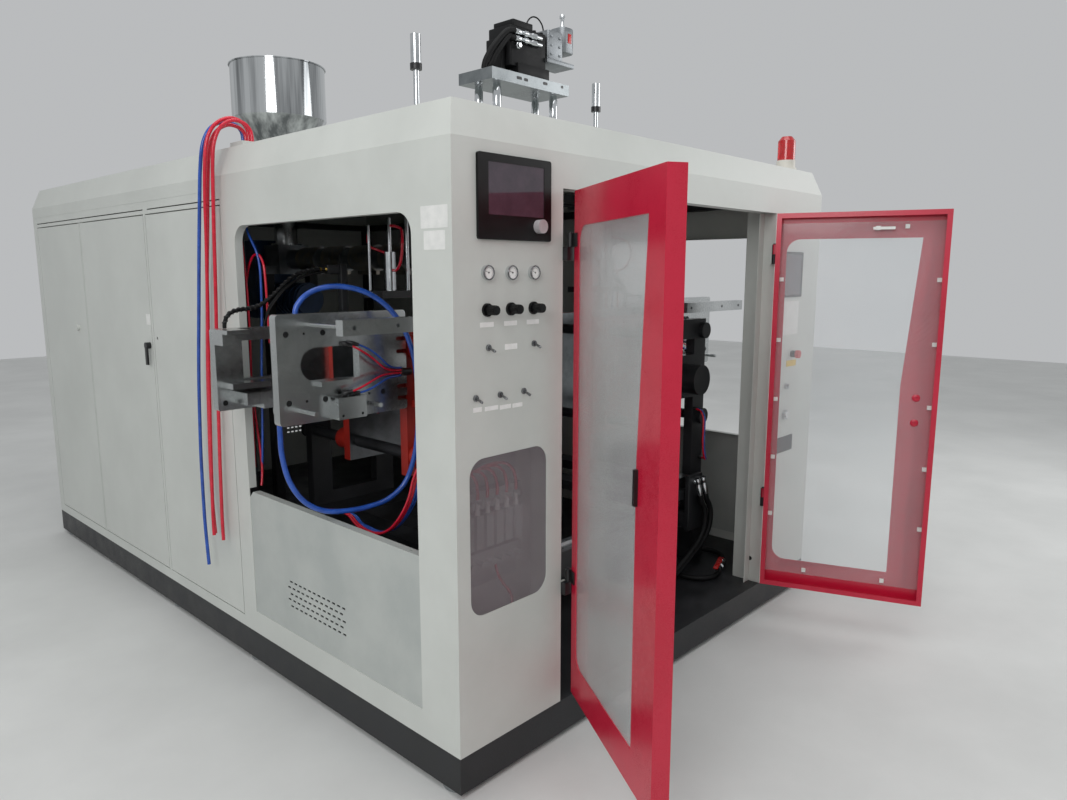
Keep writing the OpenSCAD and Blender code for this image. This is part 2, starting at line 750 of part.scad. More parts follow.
// display, bare plates, key switch and collars on the right pillar
module side_display() color("#202224") corner() difference() {
  union() {
    on_front(-6, 6) rounded(display_lo, display_hi, 6);
    block([body_w - 395, -1.5, 1400], [body_w - 205, 0, 1565]);
    block([body_w - 310, -1.5, 1238], [body_w - 205, 0, 1268]);
    block([body_w - 405, -1.5, 800], [body_w - 200, 0, 880]);
    rod_y(key_at[0], -12, 0, key_at[1], 15);
    block([key_at[0] - 3, -18, key_at[1] - 12], [key_at[0] + 3, -11, key_at[1] + 12]);
    rod_y(stop_at[0], -20, 0, stop_at[1], 17);
    rod_y(button_at[0], -12, 0, button_at[1], 24);
  }
  block([display_lo[0] + 12, -7, display_lo[1] + 12], [display_hi[0] - 12, -4.5, display_hi[1] - 12]);
  rod_y(stop_at[0], -21, 1, stop_at[1], 11 + run_gap);
  rod_y(button_at[0], -13, 1, button_at[1], 15 + run_gap);
}

module emergency_stop() color("#c8201c") corner() {
  rod_y(stop_at[0], -42, -26, stop_at[1], 20);
  rod_y(stop_at[0], -27, 30, stop_at[1], 11);
}

module start_button() color("#d9dbdc") corner() {
  rod_y(button_at[0], -18, 30, button_at[1], 15);
}

// Doors, drawn closed: x runs along the leaf from the hinge axis, y runs inwards

module leaf_outline(inset) {
  rect([leaf_x0 + inset, leaf_bottom + inset], [leaf_x1 - inset, leaf_top - inset]);
}

module pane_outline() {
  x0 = leaf_x0 + pane_margin;
  polygon([[x0 + pane_r, pane_top], [x0 + pane_top_w, pane_top], [x0 + pane_low_w, pane_bend],
    [x0 + pane_low_w, pane_bottom], [x0 + pane_r, pane_bottom], [x0, pane_bottom + pane_r],
    [x0, pane_top - pane_r]]);
  for (z = [pane_bottom + pane_r, pane_top - pane_r]) translate([x0 + pane_r, z]) circle(pane_r);
}

module door_leaf() difference() {
  union() {
    // outer skin, folded edges and inner flange
    on_front(leaf_y0, sheet) difference() { leaf_outline(0); pane_outline(); }
    on_front(leaf_y0, leaf_depth) difference() { leaf_outline(0); leaf_outline(sheet); }
    on_front(leaf_y1 - sheet, sheet) difference() { leaf_outline(0); leaf_outline(leaf_flange); }
    // knuckles on straps
    for (z = [hinge_low_z, hinge_high_z]) {
      rod_z(0, 0, z + seat_gap, z + 45, 11);
      block([0, leaf_y0 - 5, z + seat_gap], [leaf_x0 + 34, leaf_y0 + 1, z + 45]);
    }
    // grip at the window's edge
    block([leaf_x0 + pane_margin + pane_low_w + 3, leaf_y0 - 12, pane_bend - 140],
      [leaf_x0 + pane_margin + pane_low_w + 15, leaf_y0 + 1, pane_bend - 35]);
  }
  for (z = [hinge_low_z, hinge_high_z]) rod_z(0, 0, z - 1, z + 46, hinge_pin_r + run_gap);
}

module leaf_window()
  on_front(leaf_y0 + sheet, pane_t) rect([leaf_x0 + pane_gap, leaf_bottom + pane_low_gap],
    [leaf_x1 - pane_gap, leaf_top - pane_high_gap]);

// clips that hold the window sheet against the skin
module leaf_clips() {
  y0 = leaf_y0 + sheet + pane_t;
  edge = leaf_flange + 12;
  step = (leaf_top - leaf_bottom) / 6.3;
  for (x = [leaf_x0 + edge - 14, leaf_x1 - edge - 4], i = [1:5])
    block([x, y0, leaf_bottom + 60 + i * step], [x + 18, y0 + 8, leaf_bottom + 78 + i * step]);
  for (x = [leaf_x0 + 190, leaf_x0 + 540])
    block([x, y0, leaf_bottom + edge + 40], [x + 18, y0 + 8, leaf_bottom + edge + 58]);
  block([leaf_x0 + 540, y0, leaf_top - 76], [leaf_x0 + 558, y0 + 8, leaf_top - 58]);
  // hook latch beside the top clip
  block([leaf_x0 + 420, y0, leaf_top - 82], [leaf_x0 + 440, y0 + 26, leaf_top - 64]);
  block([leaf_x0 + 410, y0 + 20, leaf_top - 80], [leaf_x0 + 500, y0 + 30, leaf_top - 68]);
}

module left_hung() {
  corner() translate([hinge_u, -hinge_out, 0]) rotate([0, 0, -left_door_angle]) children();
}

module right_hung() {
  mirror([1, 0, 0]) corner() translate([hinge_u, -hinge_out, 0])
    rotate([0, 0, -right_door_angle]) children();
}

module left_door() color("#c81e3c") left_hung() door_leaf();
module left_door_window() color("#c9cdd0", 0.6) left_hung() leaf_window();
module right_door() color("#c81e3c") right_hung() door_leaf();
module right_door_window() color("#dfe6e8", 0.3) right_hung() leaf_window();
module door_clips() color("#e8e8e6") right_hung() leaf_clips();

// Stations

module guide_rails() color("#9aa0a6") corner() for (d = [bed_front, bed_rear])
  block([345, d + bed_w / 2 - guide_w / 2, rail_top - 30],
    [body_w - 345, d + bed_w / 2 + guide_w / 2, rail_top]);

tie_u = [blow_u - tie_span_u / 2, blow_u + tie_span_u / 2];

module carriage() color("#a82a20") corner() difference() {
  union() {
    // bed plate, end plates and clamp cylinders
    block([blow_u - 235, front_end - 20, carriage_z],
      [blow_u + 235, rear_end + end_plate_t + 20, carriage_z + carriage_t]);
    for (d = [front_end, rear_end]) {
      block([blow_u - 235, d, carriage_z + carriage_t - 1],
        [blow_u + 235, d + end_plate_t, tie_high_z + 60]);
    }
    rod_y(blow_u, front_end - 130, front_end + 1, ram_z, 75);
    rod_y(blow_u, rear_end + end_plate_t - 1, rear_end + end_plate_t + 130, ram_z, 75);
    for (u = tie_u, z = [tie_low_z, tie_high_z]) {
      rod_y(u, front_end + 1, rear_end + 1, z, tie_r);
      rod_y(u, front_end - 24, front_end + 1, z, tie_r + 16);
      rod_y(u, rear_end + end_plate_t - 1, rear_end + end_plate_t + 24, z, tie_r + 16);
    }
    // runner blocks over the guide rails
    for (u = [blow_u - 180, blow_u + 80], d = [bed_front, bed_rear])
      block([u, d + bed_w / 2 - 45, rail_top - 26], [u + 100, d + bed_w / 2 + 45, carriage_z + 1]);
  }
  // window through the bed plate
  block([blow_u - 120, front_face - platen_t, carriage_z - 1],
    [blow_u + 120, rear_face + platen_t, carriage_z + carriage_t + 1]);
  // windows through the end plates
  for (d = [front_end, rear_end]) {
    block([blow_u - 130, d - 1, carriage_z + carriage_t + 60],
      [blow_u + 130, d + end_plate_t + 1, ram_z - 110]);
    block([blow_u - 130, d - 1, ram_z + 110], [blow_u + 130, d + end_plate_t + 1, tie_high_z - 40]);
  }
  // slots for the guide rails
  for (d = [bed_front, bed_rear])
    block([blow_u - 300, d + bed_w / 2 - guide_w / 2 - seat_gap, rail_top - 40],
      [blow_u + 300, d + bed_w / 2 + guide_w / 2 + seat_gap, rail_top + seat_gap]);
  // cylinder bores
  rod_y(blow_u, front_end - 110, front_end + end_plate_t + 1, ram_z, ram_r + run_gap);
  rod_y(blow_u, rear_end - 1, rear_end + end_plate_t + 110, ram_z, ram_r + run_gap);
}

module left_carriage() carriage();
module right_carriage() mirror([1, 0, 0]) carriage();

// a cast platen, drawn with its working face at y = 0 and its ribs towards -y
module platen() difference() {
  union() {
    block([-platen_half_w, -45, platen_z0], [platen_half_w, 0, platen_z1]);
    // ribs and bosses of the casting
    for (x = [-150, -15, 120]) block([x, -platen_t + 20, platen_z0 + 20], [x + 30, -44, platen_z1 - 20]);
    for (z = [platen_z0 + 40, ram_z - 15, platen_z1 - 70])
      block([-platen_half_w + 25, -platen_t + 30, z], [platen_half_w - 25, -44, z + 30]);
    for (x = [-1, 1] * tie_span_u / 2, z = [tie_low_z, tie_high_z])
      rod_y(x, -platen_t, 0, z, tie_r + 22);
    rod_y(0, -platen_t, -44, ram_z, 70);
    rod_y(0, -platen_t - end_plate_gap - end_plate_t - 100, -platen_t + 1, ram_z, ram_r);
    // ear that carries the trim plate
    block([-platen_half_w - ear_w, -ear_t, trim_z0 + 20], [-platen_half_w + 1, 0, platen_z1]);
  }
  for (x = [-1, 1] * tie_span_u / 2, z = [tie_low_z, tie_high_z])
    rod_y(x, -platen_t - 1, 1, z, tie_r + run_gap);
  for (x = [-1, 1] * mould_pitch / 2, z = [-1, 1] * mould_pitch / 2)
    rod_y(x, -46, 1, ram_z + z, mould_hole_r);
}

module front_platen() color("#a82a20") corner() translate([blow_u, front_face, 0]) platen();
module rear_platen() color("#a82a20") corner() translate([blow_u, rear_face, 0])
  mirror([0, 1, 0]) platen();

module left_front_platen() front_platen();
module right_front_platen() mirror([1, 0, 0]) front_platen();
module left_rear_platen() rear_platen();
module right_rear_platen() mirror([1, 0, 0]) rear_platen();

trim_ud = [-132, 14, 270];
trim_uz = [1250, 1492];

// bright plate in front of the front platen's ear, with its pins, studs, blocks and bar
module front_trim() color("#b9bcbe") corner() {
  d1 = front_face - ear_t;
  d0 = d1 - trim_t;
  bar_d = d0 - 225;
  difference() {
    on_front(d0, trim_t) difference() {
      rounded([-trim_out, trim_z0], [trim_end, trim_z1], 14);
      // cut-out window, round on its left
      rect([-20, 1318], [165, 1440]);
      translate([-20, 1379]) circle(61);
      // open slots at the fixing end
      for (z = [1215, 1262, 1400, 1450]) {
        rect([trim_end - 40, z - 8], [trim_end + 1, z + 8]);
        translate([trim_end - 40, z]) circle(8);
      }
    }
    for (u = trim_ud, z = trim_uz) rod_y(u, d0 - 1, d1 + 1, z, dowel_r);
    for (u = [-62, 75, 140, 205], z = trim_uz) rod_y(u, d0 - 1, d1 + 1, z, 5);
  }
  // long pins to the bar, and studs
  rod_y(-40, bar_d, d0 + 1, 1523, 8);
  rod_y(360, bar_d, d0 + 1, 1523, 8);
  for (u = [-85, 185]) rod_y(u, d0 - 100, d0 + 1, 1218, 9);
  difference() {
    block([-75, bar_d - 40, 1497], [500, bar_d + 1, 1550]);
    for (u = [-30, 150, 460]) rod_y(u, bar_d - 41, bar_d + 2, 1523, 7);
  }
  // clamp block under the window and the slide above it
  difference() {
    block([30, d0 - 60, 1176], [150, d0 + 1, 1256]);
    for (u = [48, 132]) rod_y(u, d0 - 61, d0 - 30, 1190, 5);
    for (u = [48, 132]) rod_z(u, d0 - 30, 1240, 1257, 5);
  }
  block([-20, d0 - 34, 1300], [112, d0 + 1, 1318]);
  // fittings that the loop hose meets
  block([loop_start[0] - 14, d1 - 1, loop_start[2] - 20], loop_start + [14, 14, 0]);
  block([loop_end[0] - 14, d1 - 1, loop_end[2]], loop_end + [14, 14, 22]);
}

module rear_trim() color("#b9bcbe") corner() {
  d0 = rear_face + ear_t;
  d1 = d0 + trim_t;
  difference() {
    on_front(d0, trim_t) difference() {
      rounded([-trim_out, trim_z0], [trim_end, rear_trim_z1], 10);
      rect([-60, 1290], [190, 1440]);
      for (z = [1230, 1262, 1400, 1440]) rect([trim_end - 40, z - 8], [trim_end + 1, z + 8]);
    }
    for (u = [-140, 250], z = [1200, 1465]) rod_y(u, d0 - 1, d1 + 1, z, dowel_r);
  }
  // shelf folded at the top and stepped blocks below, towards the front plate
  block([-trim_out, d0 - 110, rear_trim_z1 - 16], [-trim_out + 90, d0 + 1, rear_trim_z1]);
  block([-trim_out, d0 - 70, rear_trim_z1 - 60], [-trim_out + 50, d0 + 1, rear_trim_z1 - 15]);
  block([-trim_out + 20, d0 - 90, 1262], [150, d0 + 1, 1284]);
  block([-trim_out + 60, d0 - 120, 1200], [60, d0 + 1, 1246]);
  block([-30, d0 - 96, 1176], [110, d0 + 1, 1201]);
}

module left_front_trim() front_trim();
module right_front_trim() mirror([1, 0, 0]) front_trim();
module left_rear_trim() rear_trim();
module right_rear_trim() mirror([1, 0, 0]) rear_trim();

// fixed cylinders under the head beams
module blow_cylinder() corner() difference() {
  union() {
    block([blow_u - 110, head_beam_front, top_rail_z - 20],
      [blow_u + 110, head_beam_rear + beam_w, top_rail_z]);
    rod_z(blow_u, blow_d, 1780, top_rail_z - 19, 42);
    rod_z(blow_u, blow_d, 1780, 1806, 48);
    for (s = [-70, 70]) rod_z(blow_u + s, blow_d, top_rail_z - 60, top_rail_z - 19, 18);
  }
  rod_z(blow_u, blow_d, 1779, top_rail_z + 1, 12.5 + run_gap);
  for (s = [-70, 70]) rod_z(blow_u + s, blow_d, top_rail_z - 61, top_rail_z + 1, 9 + run_gap);
}

module blow_cylinders() color("#8e9398") {
  blow_cylinder();
  mirror([1, 0, 0]) blow_cylinder();
}

// crosshead with the blow pin, its rods and the adjuster above the roof
module blow_pin() color("#c2c6ca") corner() {
  block([blow_u - 235, blow_d - 44, 1600], [blow_u + 105, blow_d + 96, 1630]);
  rod_z(blow_u, blow_d, 1629, adjuster_z + 1, 12.5);
  rod_z(blow_u, blow_d, adjuster_z, adjuster_z + 25, 25);
  rod_z(blow_u, blow_d, adjuster_z + 24, adjuster_z + 140, 22);
  for (s = [-70, 70]) rod_z(blow_u + s, blow_d, 1629, roof_top - 20, 9);
  rod_z(blow_u, blow_d, 1530, 1601, 20);
  translate([blow_u, blow_d, 1490]) cylinder(r1 = 10, r2 = 14, h = 41);
  // side cylinder with its rod
  rod_z(blow_u - 155, blow_d + 8, 1629, 1790, 24);
  rod_z(blow_u - 155, blow_d + 8, 1789, 1930, 8);
  rod_z(blow_u - 215, blow_d + 70, 1629, 1900, 6);
}

module left_blow_pin() blow_pin();
module right_blow_pin() mirror([1, 0, 0]) blow_pin();

// Head and roof equipment

module die_head() color("#2b2c2e") corner() {
  // turned head body with its die rings
  hang = top_rail_z - barrel_z;
  translate([mid_u, blow_d + 6, barrel_z]) rotate_extrude() polygon([[0, -190], [50, -190],
    [58, -178], [58, -150], [85, -150], [85, -122], [110, -110], [110, 170], [125, 170],
    [125, 200], [70, 200], [70, hang], [0, hang]]);
  // inlet neck towards the barrel
  rod_y(mid_u, blow_d + 6, barrel_d0, barrel_z, 46);
  rod_y(mid_u, barrel_d0 - 24, barrel_d0, barrel_z, 88);
  // hanger plate under the beams
  block([mid_u - 150, head_beam_front, top_rail_z - 24],
    [mid_u + 150, head_beam_rear + beam_w, top_rail_z]);
}

module head_platform() color("#8b9094") corner() {
  block([mid_u - 258, blow_d - 104, platform_z], [mid_u + 258, blow_d + 116, platform_z + platform_t]);
  // columns with their sleeves, on feet that lie on the head beams
  for (d = [head_beam_front + beam_w / 2, head_beam_rear + beam_w / 2]) {
    for (s = [-1, 1]) {
      rod_z(mid_u + s * column_u, d, wall_top, platform_z + 1, 11);
      rod_z(mid_u + s * column_u, d, roof_top + 60, roof_top + 210, 22.5);
    }
    block([mid_u - column_u - 12, d - 28, wall_top - sheet], [mid_u + column_u + 12, d + 28, wall_top + 9]);
  }
}

// servo valve block with its hoses, valve boxes and cable glands
module servo_valve() color("#222426") corner() {
  z0 = platform_z + platform_t;
  block([mid_u - 120, blow_d - 70, z0], [mid_u + 40, blow_d + 80, z0 + 110]);
  block([mid_u - 90, blow_d - 50, z0 + 109], [mid_u + 10, blow_d + 60, z0 + 178]);
  block([mid_u + 60, blow_d - 50, z0], [mid_u + 200, blow_d + 70, z0 + 95]);
  block([mid_u + 75, blow_d - 40, z0 + 94], [mid_u + 185, blow_d + 60, z0 + 200]);
  block([mid_u + 95, blow_d - 30, z0 + 199], [mid_u + 165, blow_d + 40, z0 + 280]);
  rod_x(mid_u + 164, mid_u + 205, blow_d + 5, z0 + 240, 12);
  block([mid_u + 39, blow_d - 20, z0 + 20], [mid_u + 61, blow_d + 40, z0 + 80]);
  // two hoses that arch from the block down to the plate
  for (i = [0, 1]) translate([mid_u - 150, blow_d - 35 + i * 70, z0 + 90 + i * 20]) {
    rotate([90, 0, 0]) rotate_extrude(angle = 180) translate([60 + i * 14, 0]) circle(12);
    rod_z(-60 - i * 14, 0, -90 - i * 20, 1, 14);
    rod_z(60 + i * 14, 0, -12, 1, 12);
  }
}

module beacon() color("#d02a24") corner() translate([body_w - beacon_in, 125, roof_top]) {
  cylinder(r = 52, h = 18);
  translate([0, 0, 17]) cylinder(r = 46, h = 38);
  translate([0, 0, 54]) cylinder(r = 43, h = 96);
  translate([0, 0, 149]) cylinder(r1 = 43, r2 = 26, h = 22);
}

module hopper() color("#d5d8da") corner() translate([mid_u, hopper_d, 0]) {
  w = hopper_wall;
  cone_z = hopper_shoulder - (hopper_r - throat_r) / tan(30);
  feed_top = barrel_z + feed_half;
  rotate_extrude($fn = 96) polygon([[throat_r, feed_top], [throat_r, cone_z],
    [hopper_r, hopper_shoulder], [hopper_r, hopper_rim - 6], [hopper_r + 7, hopper_rim - 6],
    [hopper_r + 7, hopper_rim], [hopper_r - w, hopper_rim], [hopper_r - w, hopper_shoulder],
    [throat_r - w, cone_z], [throat_r - w, feed_top]]);
  difference() {
    translate([0, 0, feed_top]) cylinder(r = throat_r + 30, h = 10);
    translate([0, 0, feed_top - 1]) cylinder(r = throat_r - 1, h = 12);
  }
}

module extruder_barrel() color("#6f7477") corner() difference() {
  union() {
    rod_y(mid_u, barrel_d0, barrel_d1, barrel_z, barrel_r);
    rod_y(mid_u, barrel_d0, barrel_d0 + 24, barrel_z, 88);
    // heater bands with their clamping lugs
    pitch = (hopper_d - feed_half - barrel_d0 - 120) / band_count;
    for (i = [0:band_count - 1]) {
      d = barrel_d0 + 70 + i * pitch;
      rod_y(mid_u, d, d + pitch * 0.7, barrel_z, barrel_r + 14);
      block([mid_u - 12, d + 10, barrel_z - barrel_r - 34],
        [mid_u + 12, d + pitch * 0.7 - 10, barrel_z - barrel_r - 4]);
    }
    // feed housing under the hopper, on its stand
    block([mid_u - 110, hopper_d - feed_half, barrel_z - feed_half],
      [mid_u + 110, hopper_d + feed_half, barrel_z + feed_half]);
    block([mid_u - stand_u - post, hopper_d - 60, barrel_z - feed_half],
      [mid_u + stand_u + post, hopper_d, barrel_z - 40]);
  }
  rod_y(mid_u, barrel_d0 - 1, barrel_d1 + 1, barrel_z, bore_r);
  rod_z(mid_u, hopper_d, barrel_z, barrel_z + feed_half + 1, throat_r - hopper_wall - 12);
}

// gearbox on the barrel's rear end with its motor slung below
module gear_motor() color("#3d5a80") corner() difference() {
  union() {
    block([mid_u - 150, barrel_d1, motor_z - motor_r - 30], [mid_u + 150, gearbox_d1, barrel_z + 130]);
    rod_y(mid_u, barrel_d1 - 420, barrel_d1 + 1, motor_z, motor_r);
    for (i = [0:6]) rod_y(mid_u, barrel_d1 - 400 + i * 52, barrel_d1 - 376 + i * 52, motor_z, motor_r + 10);
  }
  rod_y(mid_u, barrel_d1 - 1, gearbox_d1 - 60, barrel_z, shaft_r + run_gap);
}

module extruder_screw() color("#b0b4b7") corner() {
  tip = barrel_d0 + 60;
  // octagonal core with one flight that winds along it, ring by ring
  rings = screw_turns * 8;
  step = (barrel_d1 - 20 - tip) / rings;
  points = [for (i = [0:rings], k = [0:7])
    let (r = (k - i) % 8 == 0 ? screw_r : screw_core_r, a = -45 * k)
    [mid_u + r * cos(a), tip + step * i, barrel_z + r * sin(a)]];
  walls = [for (i = [0:rings - 1], k = [0:7])
    let (a = i * 8 + k, b = i * 8 + (k + 1) % 8) each [[a, b + 8, b], [a, a + 8, b + 8]]];
  polyhedron(points, concat(walls, [[for (k = [0:7]) k], [for (k = [7:-1:0]) rings * 8 + k]]));
  rod_y(mid_u, barrel_d1 - 21, gearbox_d1 - 70, barrel_z, shaft_r);
  translate([mid_u, tip + 1, barrel_z]) rotate([90, 0, 0]) cylinder(r1 = 19, r2 = 6, h = 40);
}

// Hoses

module hose_red_1() color("#c8102e") corner() tube(smooth(route_red_1, 2), hose_r, hose_sides);
module hose_red_2() color("#c8102e") corner() tube(smooth(route_red_2, 2), hose_r, hose_sides);
module hose_red_3() color("#c8102e") corner() tube(smooth(route_red_3, 2), hose_r, hose_sides);
module hose_blue() color("#1f4fa8") corner() tube(smooth(route_blue, 2), hose_r, hose_sides);
module loop_hose() color("#1f4fa8") corner() tube(smooth(route_loop, 2), loop_r, 10);

base_frame();
levelling_feet();
roof_cover();
left_window_panel();
right_window_panel();
sill_guards();
left_rear_frame();
side_cover();
right_rear_panel();
rear_panel();
front_left_pillar();
front_right_pillar();
front_header();
pillar_window();
valve_manifold();
pressure_gauges();
panel_valves();
hmi_panel();
side_display();
beacon();
hopper();
extruder_barrel();
gear_motor();
die_head();
head_platform();
servo_valve();
blow_cylinders();
guide_rails();
hose_red_1();
hose_red_2();
hose_red_3();
hose_blue();
left_door();
left_door_window();
right_door();
right_door_window();
door_clips();
access_door_1();
access_door_2();
access_handle();
hmi_knob();
regulator_knob_1();
regulator_knob_2();
regulator_knob_3();
emergency_stop();
start_button();
extruder_screw();
left_carriage();
right_carriage();
left_front_platen();
right_front_platen();
left_rear_platen();
right_rear_platen();
left_front_trim();
right_front_trim();
left_rear_trim();
right_rear_trim();
left_blow_pin();
right_blow_pin();
loop_hose();
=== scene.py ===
# Looks of a double-station blow moulding machine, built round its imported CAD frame.
# Metres, +Z up, the doors face -Y. Made for Blender 4.5.
import math

import bmesh
import bpy
import numpy as np
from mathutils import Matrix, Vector


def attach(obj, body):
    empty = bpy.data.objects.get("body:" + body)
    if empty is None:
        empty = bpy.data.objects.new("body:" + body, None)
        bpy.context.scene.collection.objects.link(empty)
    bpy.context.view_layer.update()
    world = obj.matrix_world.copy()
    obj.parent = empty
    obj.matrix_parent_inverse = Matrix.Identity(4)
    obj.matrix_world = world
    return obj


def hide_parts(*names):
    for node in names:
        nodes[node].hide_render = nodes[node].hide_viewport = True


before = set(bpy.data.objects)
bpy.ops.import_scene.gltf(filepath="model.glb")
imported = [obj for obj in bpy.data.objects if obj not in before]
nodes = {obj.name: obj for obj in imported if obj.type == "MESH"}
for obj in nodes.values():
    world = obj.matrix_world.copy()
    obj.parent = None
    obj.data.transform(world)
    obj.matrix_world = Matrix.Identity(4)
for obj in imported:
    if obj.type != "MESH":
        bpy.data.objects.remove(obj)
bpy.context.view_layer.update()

# the front left corner of the enclosure on the floor; places are millimetres from it:
# u to the right, d to the back, z up
enclosure = {"width": 2505.0, "frontY": -1630.621, "roofTop": 2207.0}
cornerShift = np.array([-enclosure["width"] / 2, enclosure["frontY"], 0.0])


def fromCorner(points):
    # row frame metres = (corner millimetres + shift) / 1000
    return (np.asarray(points, float) + cornerShift) / 1000


def unmoved(points):
    # the left station's points as they are
    return np.array(points, float)


def mirrored(points):
    # the right station is the left one with u replaced by width - u
    flipped = np.array(points, float)
    flipped[..., 0] = enclosure["width"] - flipped[..., 0]
    return flipped


# the function that takes what is written for the left station to each side
stationSides = {"left": unmoved, "right": mirrored}


def aimed(place, direction):
    # a direction at a side: the difference between two points that are taken there
    return place(direction) - place((0, 0, 0))


def gridFaces(rows, columns, offset):
    # quads between neighbouring rows, with the last column joined to the first
    r = np.arange(rows - 1)[:, None]
    c = np.arange(columns)[None, :]
    nextC = (c + 1) % columns
    return np.stack([r * columns + c, r * columns + nextC, (r + 1) * columns + nextC,
                     (r + 1) * columns + c], axis=-1).reshape(-1, 4) + offset


# how near two points of a mesh merge, and how short an edge goes, in metres
meshLimits = {"merge": 2e-6, "shortEdge": 1e-7}


def addPiece(name, grids, material, body, sharp=35.0):
    # joins grids of corner points (rows x columns x 3) into one mesh, poles merged afterwards
    vertices, faces, start = [], [], 0
    for grid in grids:
        grid = np.asarray(grid, float)
        rows, columns = grid.shape[:2]
        vertices.append(grid.reshape(-1, 3))
        faces.append(gridFaces(rows, columns, start))
        start += rows * columns
    mesh = bpy.data.meshes.new(name)
    mesh.from_pydata(fromCorner(np.concatenate(vertices)).tolist(), [], np.concatenate(faces).tolist())
    work = bmesh.new()
    work.from_mesh(mesh)
    bmesh.ops.remove_doubles(work, verts=work.verts, dist=meshLimits["merge"])
    bmesh.ops.dissolve_degenerate(work, edges=work.edges, dist=meshLimits["shortEdge"])
    bmesh.ops.recalc_face_normals(work, faces=work.faces)
    work.to_mesh(mesh)
    work.free()
    mesh.shade_smooth()
    mesh.set_sharp_from_angle(angle=math.radians(sharp))
    mesh.materials.append(material)
    piece = bpy.data.objects.new(name, mesh)
    bpy.context.scene.collection.objects.link(piece)
    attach(piece, body)
    return piece


def axisFrame(direction):
    # the direction as a unit vector, and two unit vectors square on it and on each other
    direction = np.asarray(direction, float) / np.linalg.norm(direction)
    helper = np.array([0.0, 0.0, 1.0]) if abs(direction[2]) < 0.9 else np.array([1.0, 0.0, 0.0])
    across = np.cross(direction, helper)
    across /= np.linalg.norm(across)
    return direction, across, np.cross(direction, across)


def circle(across, third, sides):
    # unit vectors all round: cosine times the one direction plus sine times the other
    angle = np.linspace(0, 2 * math.pi, sides, endpoint=False)[:, None]
    return np.cos(angle) * across[..., None, :] + np.sin(angle) * third[..., None, :]


def turned(profile, centre, direction, sides):
    # point = centre + reach along the axis + radius times a unit circle across it
    along, across, third = axisFrame(direction)
    radius, reach = np.asarray(profile, float).T[:, :, None, None]
    return np.asarray(centre, float) + reach * along + radius * circle(across, third, sides)


def outlinePoints(width, height, radius, steps=6):
    # rounded rectangle: in each quarter, the corner arc's middle + radius times (cos, sin)
    angle = np.linspace(0, math.pi / 2, steps)
    arcs = []
    for k, (sx, sy) in enumerate(((1, 1), (-1, 1), (-1, -1), (1, -1))):
        middle = np.array([sx * (width / 2 - radius), sy * (height / 2 - radius)])
        turn = angle + k * math.pi / 2
        arcs.append(middle + radius * np.stack([np.cos(turn), np.sin(turn)], axis=-1))
    return np.concatenate(arcs)


def plate(centre, width, height, thickness, radius, direction, edge, upright=None):
    # outline of the plate on rows along its thickness, drawn in at both faces and closed at poles
    along, across, third = axisFrame(direction)
    if upright is not None:
        third = np.asarray(upright, float)
        across = np.cross(third, along)
    outline = outlinePoints(width, height, radius)
    steps = [(None, 0), (edge, 0), (0.3 * edge, 0.3 * edge), (0, edge), (0, thickness - edge),
             (0.3 * edge, thickness - 0.3 * edge), (edge, thickness), (None, thickness)]
    rows = []
    for inset, reach in steps:
        if inset is None:
            flat = np.zeros_like(outline)
        else:
            flat = outline * (1 - 2 * inset / np.array([width, height]))
        rows.append(np.asarray(centre, float) + flat[:, :1] * across + flat[:, 1:] * third + reach * along)
    return np.stack(rows)


def blockGrid(low, high, radius, edge):
    # a block between two corners: a rounded plate as thick as the block is high
    low, high = np.minimum(low, high).astype(float), np.maximum(low, high).astype(float)
    size = high - low
    centre = ((low[0] + high[0]) / 2, (low[1] + high[1]) / 2, low[2])
    radius = min(radius, 0.49 * size[0], 0.49 * size[1])
    return plate(centre, size[1], size[0], size[2], radius, (0, 0, 1), edge)


def smoothPath(points, steps=8):
    # Catmull-Rom curve through the points, as many short steps between each two
    p = np.asarray(points, float)
    ends = np.concatenate([p[:1], p, p[-1:]])
    a, b, c, d = ends[:-3], ends[1:-2], ends[2:-1], ends[3:]
    s = (np.arange(steps) / steps)[None, :, None]
    a, b, c, d = (x[:, None, :] for x in (a, b, c, d))
    curve = 0.5 * (2 * b + (c - a) * s + (2 * a - 5 * b + 4 * c - d) * s ** 2
                   + (3 * b - a - 3 * c + d) * s ** 3)
    return np.concatenate([curve.reshape(-1, 3), p[-1:]])


def tubeGrid(path, radius, sides):
    # ring = path point + radius times a unit circle across the path, closed at both ends; each
    # circle's first direction is the one before, turned the least
    path = np.asarray(path, float)
    ahead = np.gradient(path, axis=0)
    ahead /= np.linalg.norm(ahead, axis=1)[:, None]
    across = axisFrame(ahead[0])[1]
    frames = []
    for direction in ahead:
        across = across - direction * np.dot(across, direction)
        across = across / np.linalg.norm(across)
        frames.append(across)
    across = np.array(frames)
    rings = path[:, None, :] + radius * circle(across, np.cross(ahead, across), sides)
    first, last = (np.broadcast_to(end, (1, sides, 3)) for end in (path[0], path[-1]))
    return np.concatenate([first, rings, last])


# a slot name for each kind of tube
tubeSlots = {"red_polyurethane_tube": "red_hose", "blue_polyurethane_tube": "blue_hose"}


def addTube(name, route, diameter, finish, body, slot=None, sides=12):
    # a tube of that diameter along a route, both in millimetres
    slot = slot or tubeSlots[finish.name]
    return addPiece(name, [tubeGrid(smoothPath(route), diameter / 2, sides)], finish, body)


def addCord(name, route, diameter, finish, body, slot=None, farEnd="object", stiffness="stiff", lay="taut",
            sides=12, withPieces=()):
    # a tube along a route, made as addTube makes it
    piece = addTube(name, route, diameter, finish, body, slot, sides)
    return piece


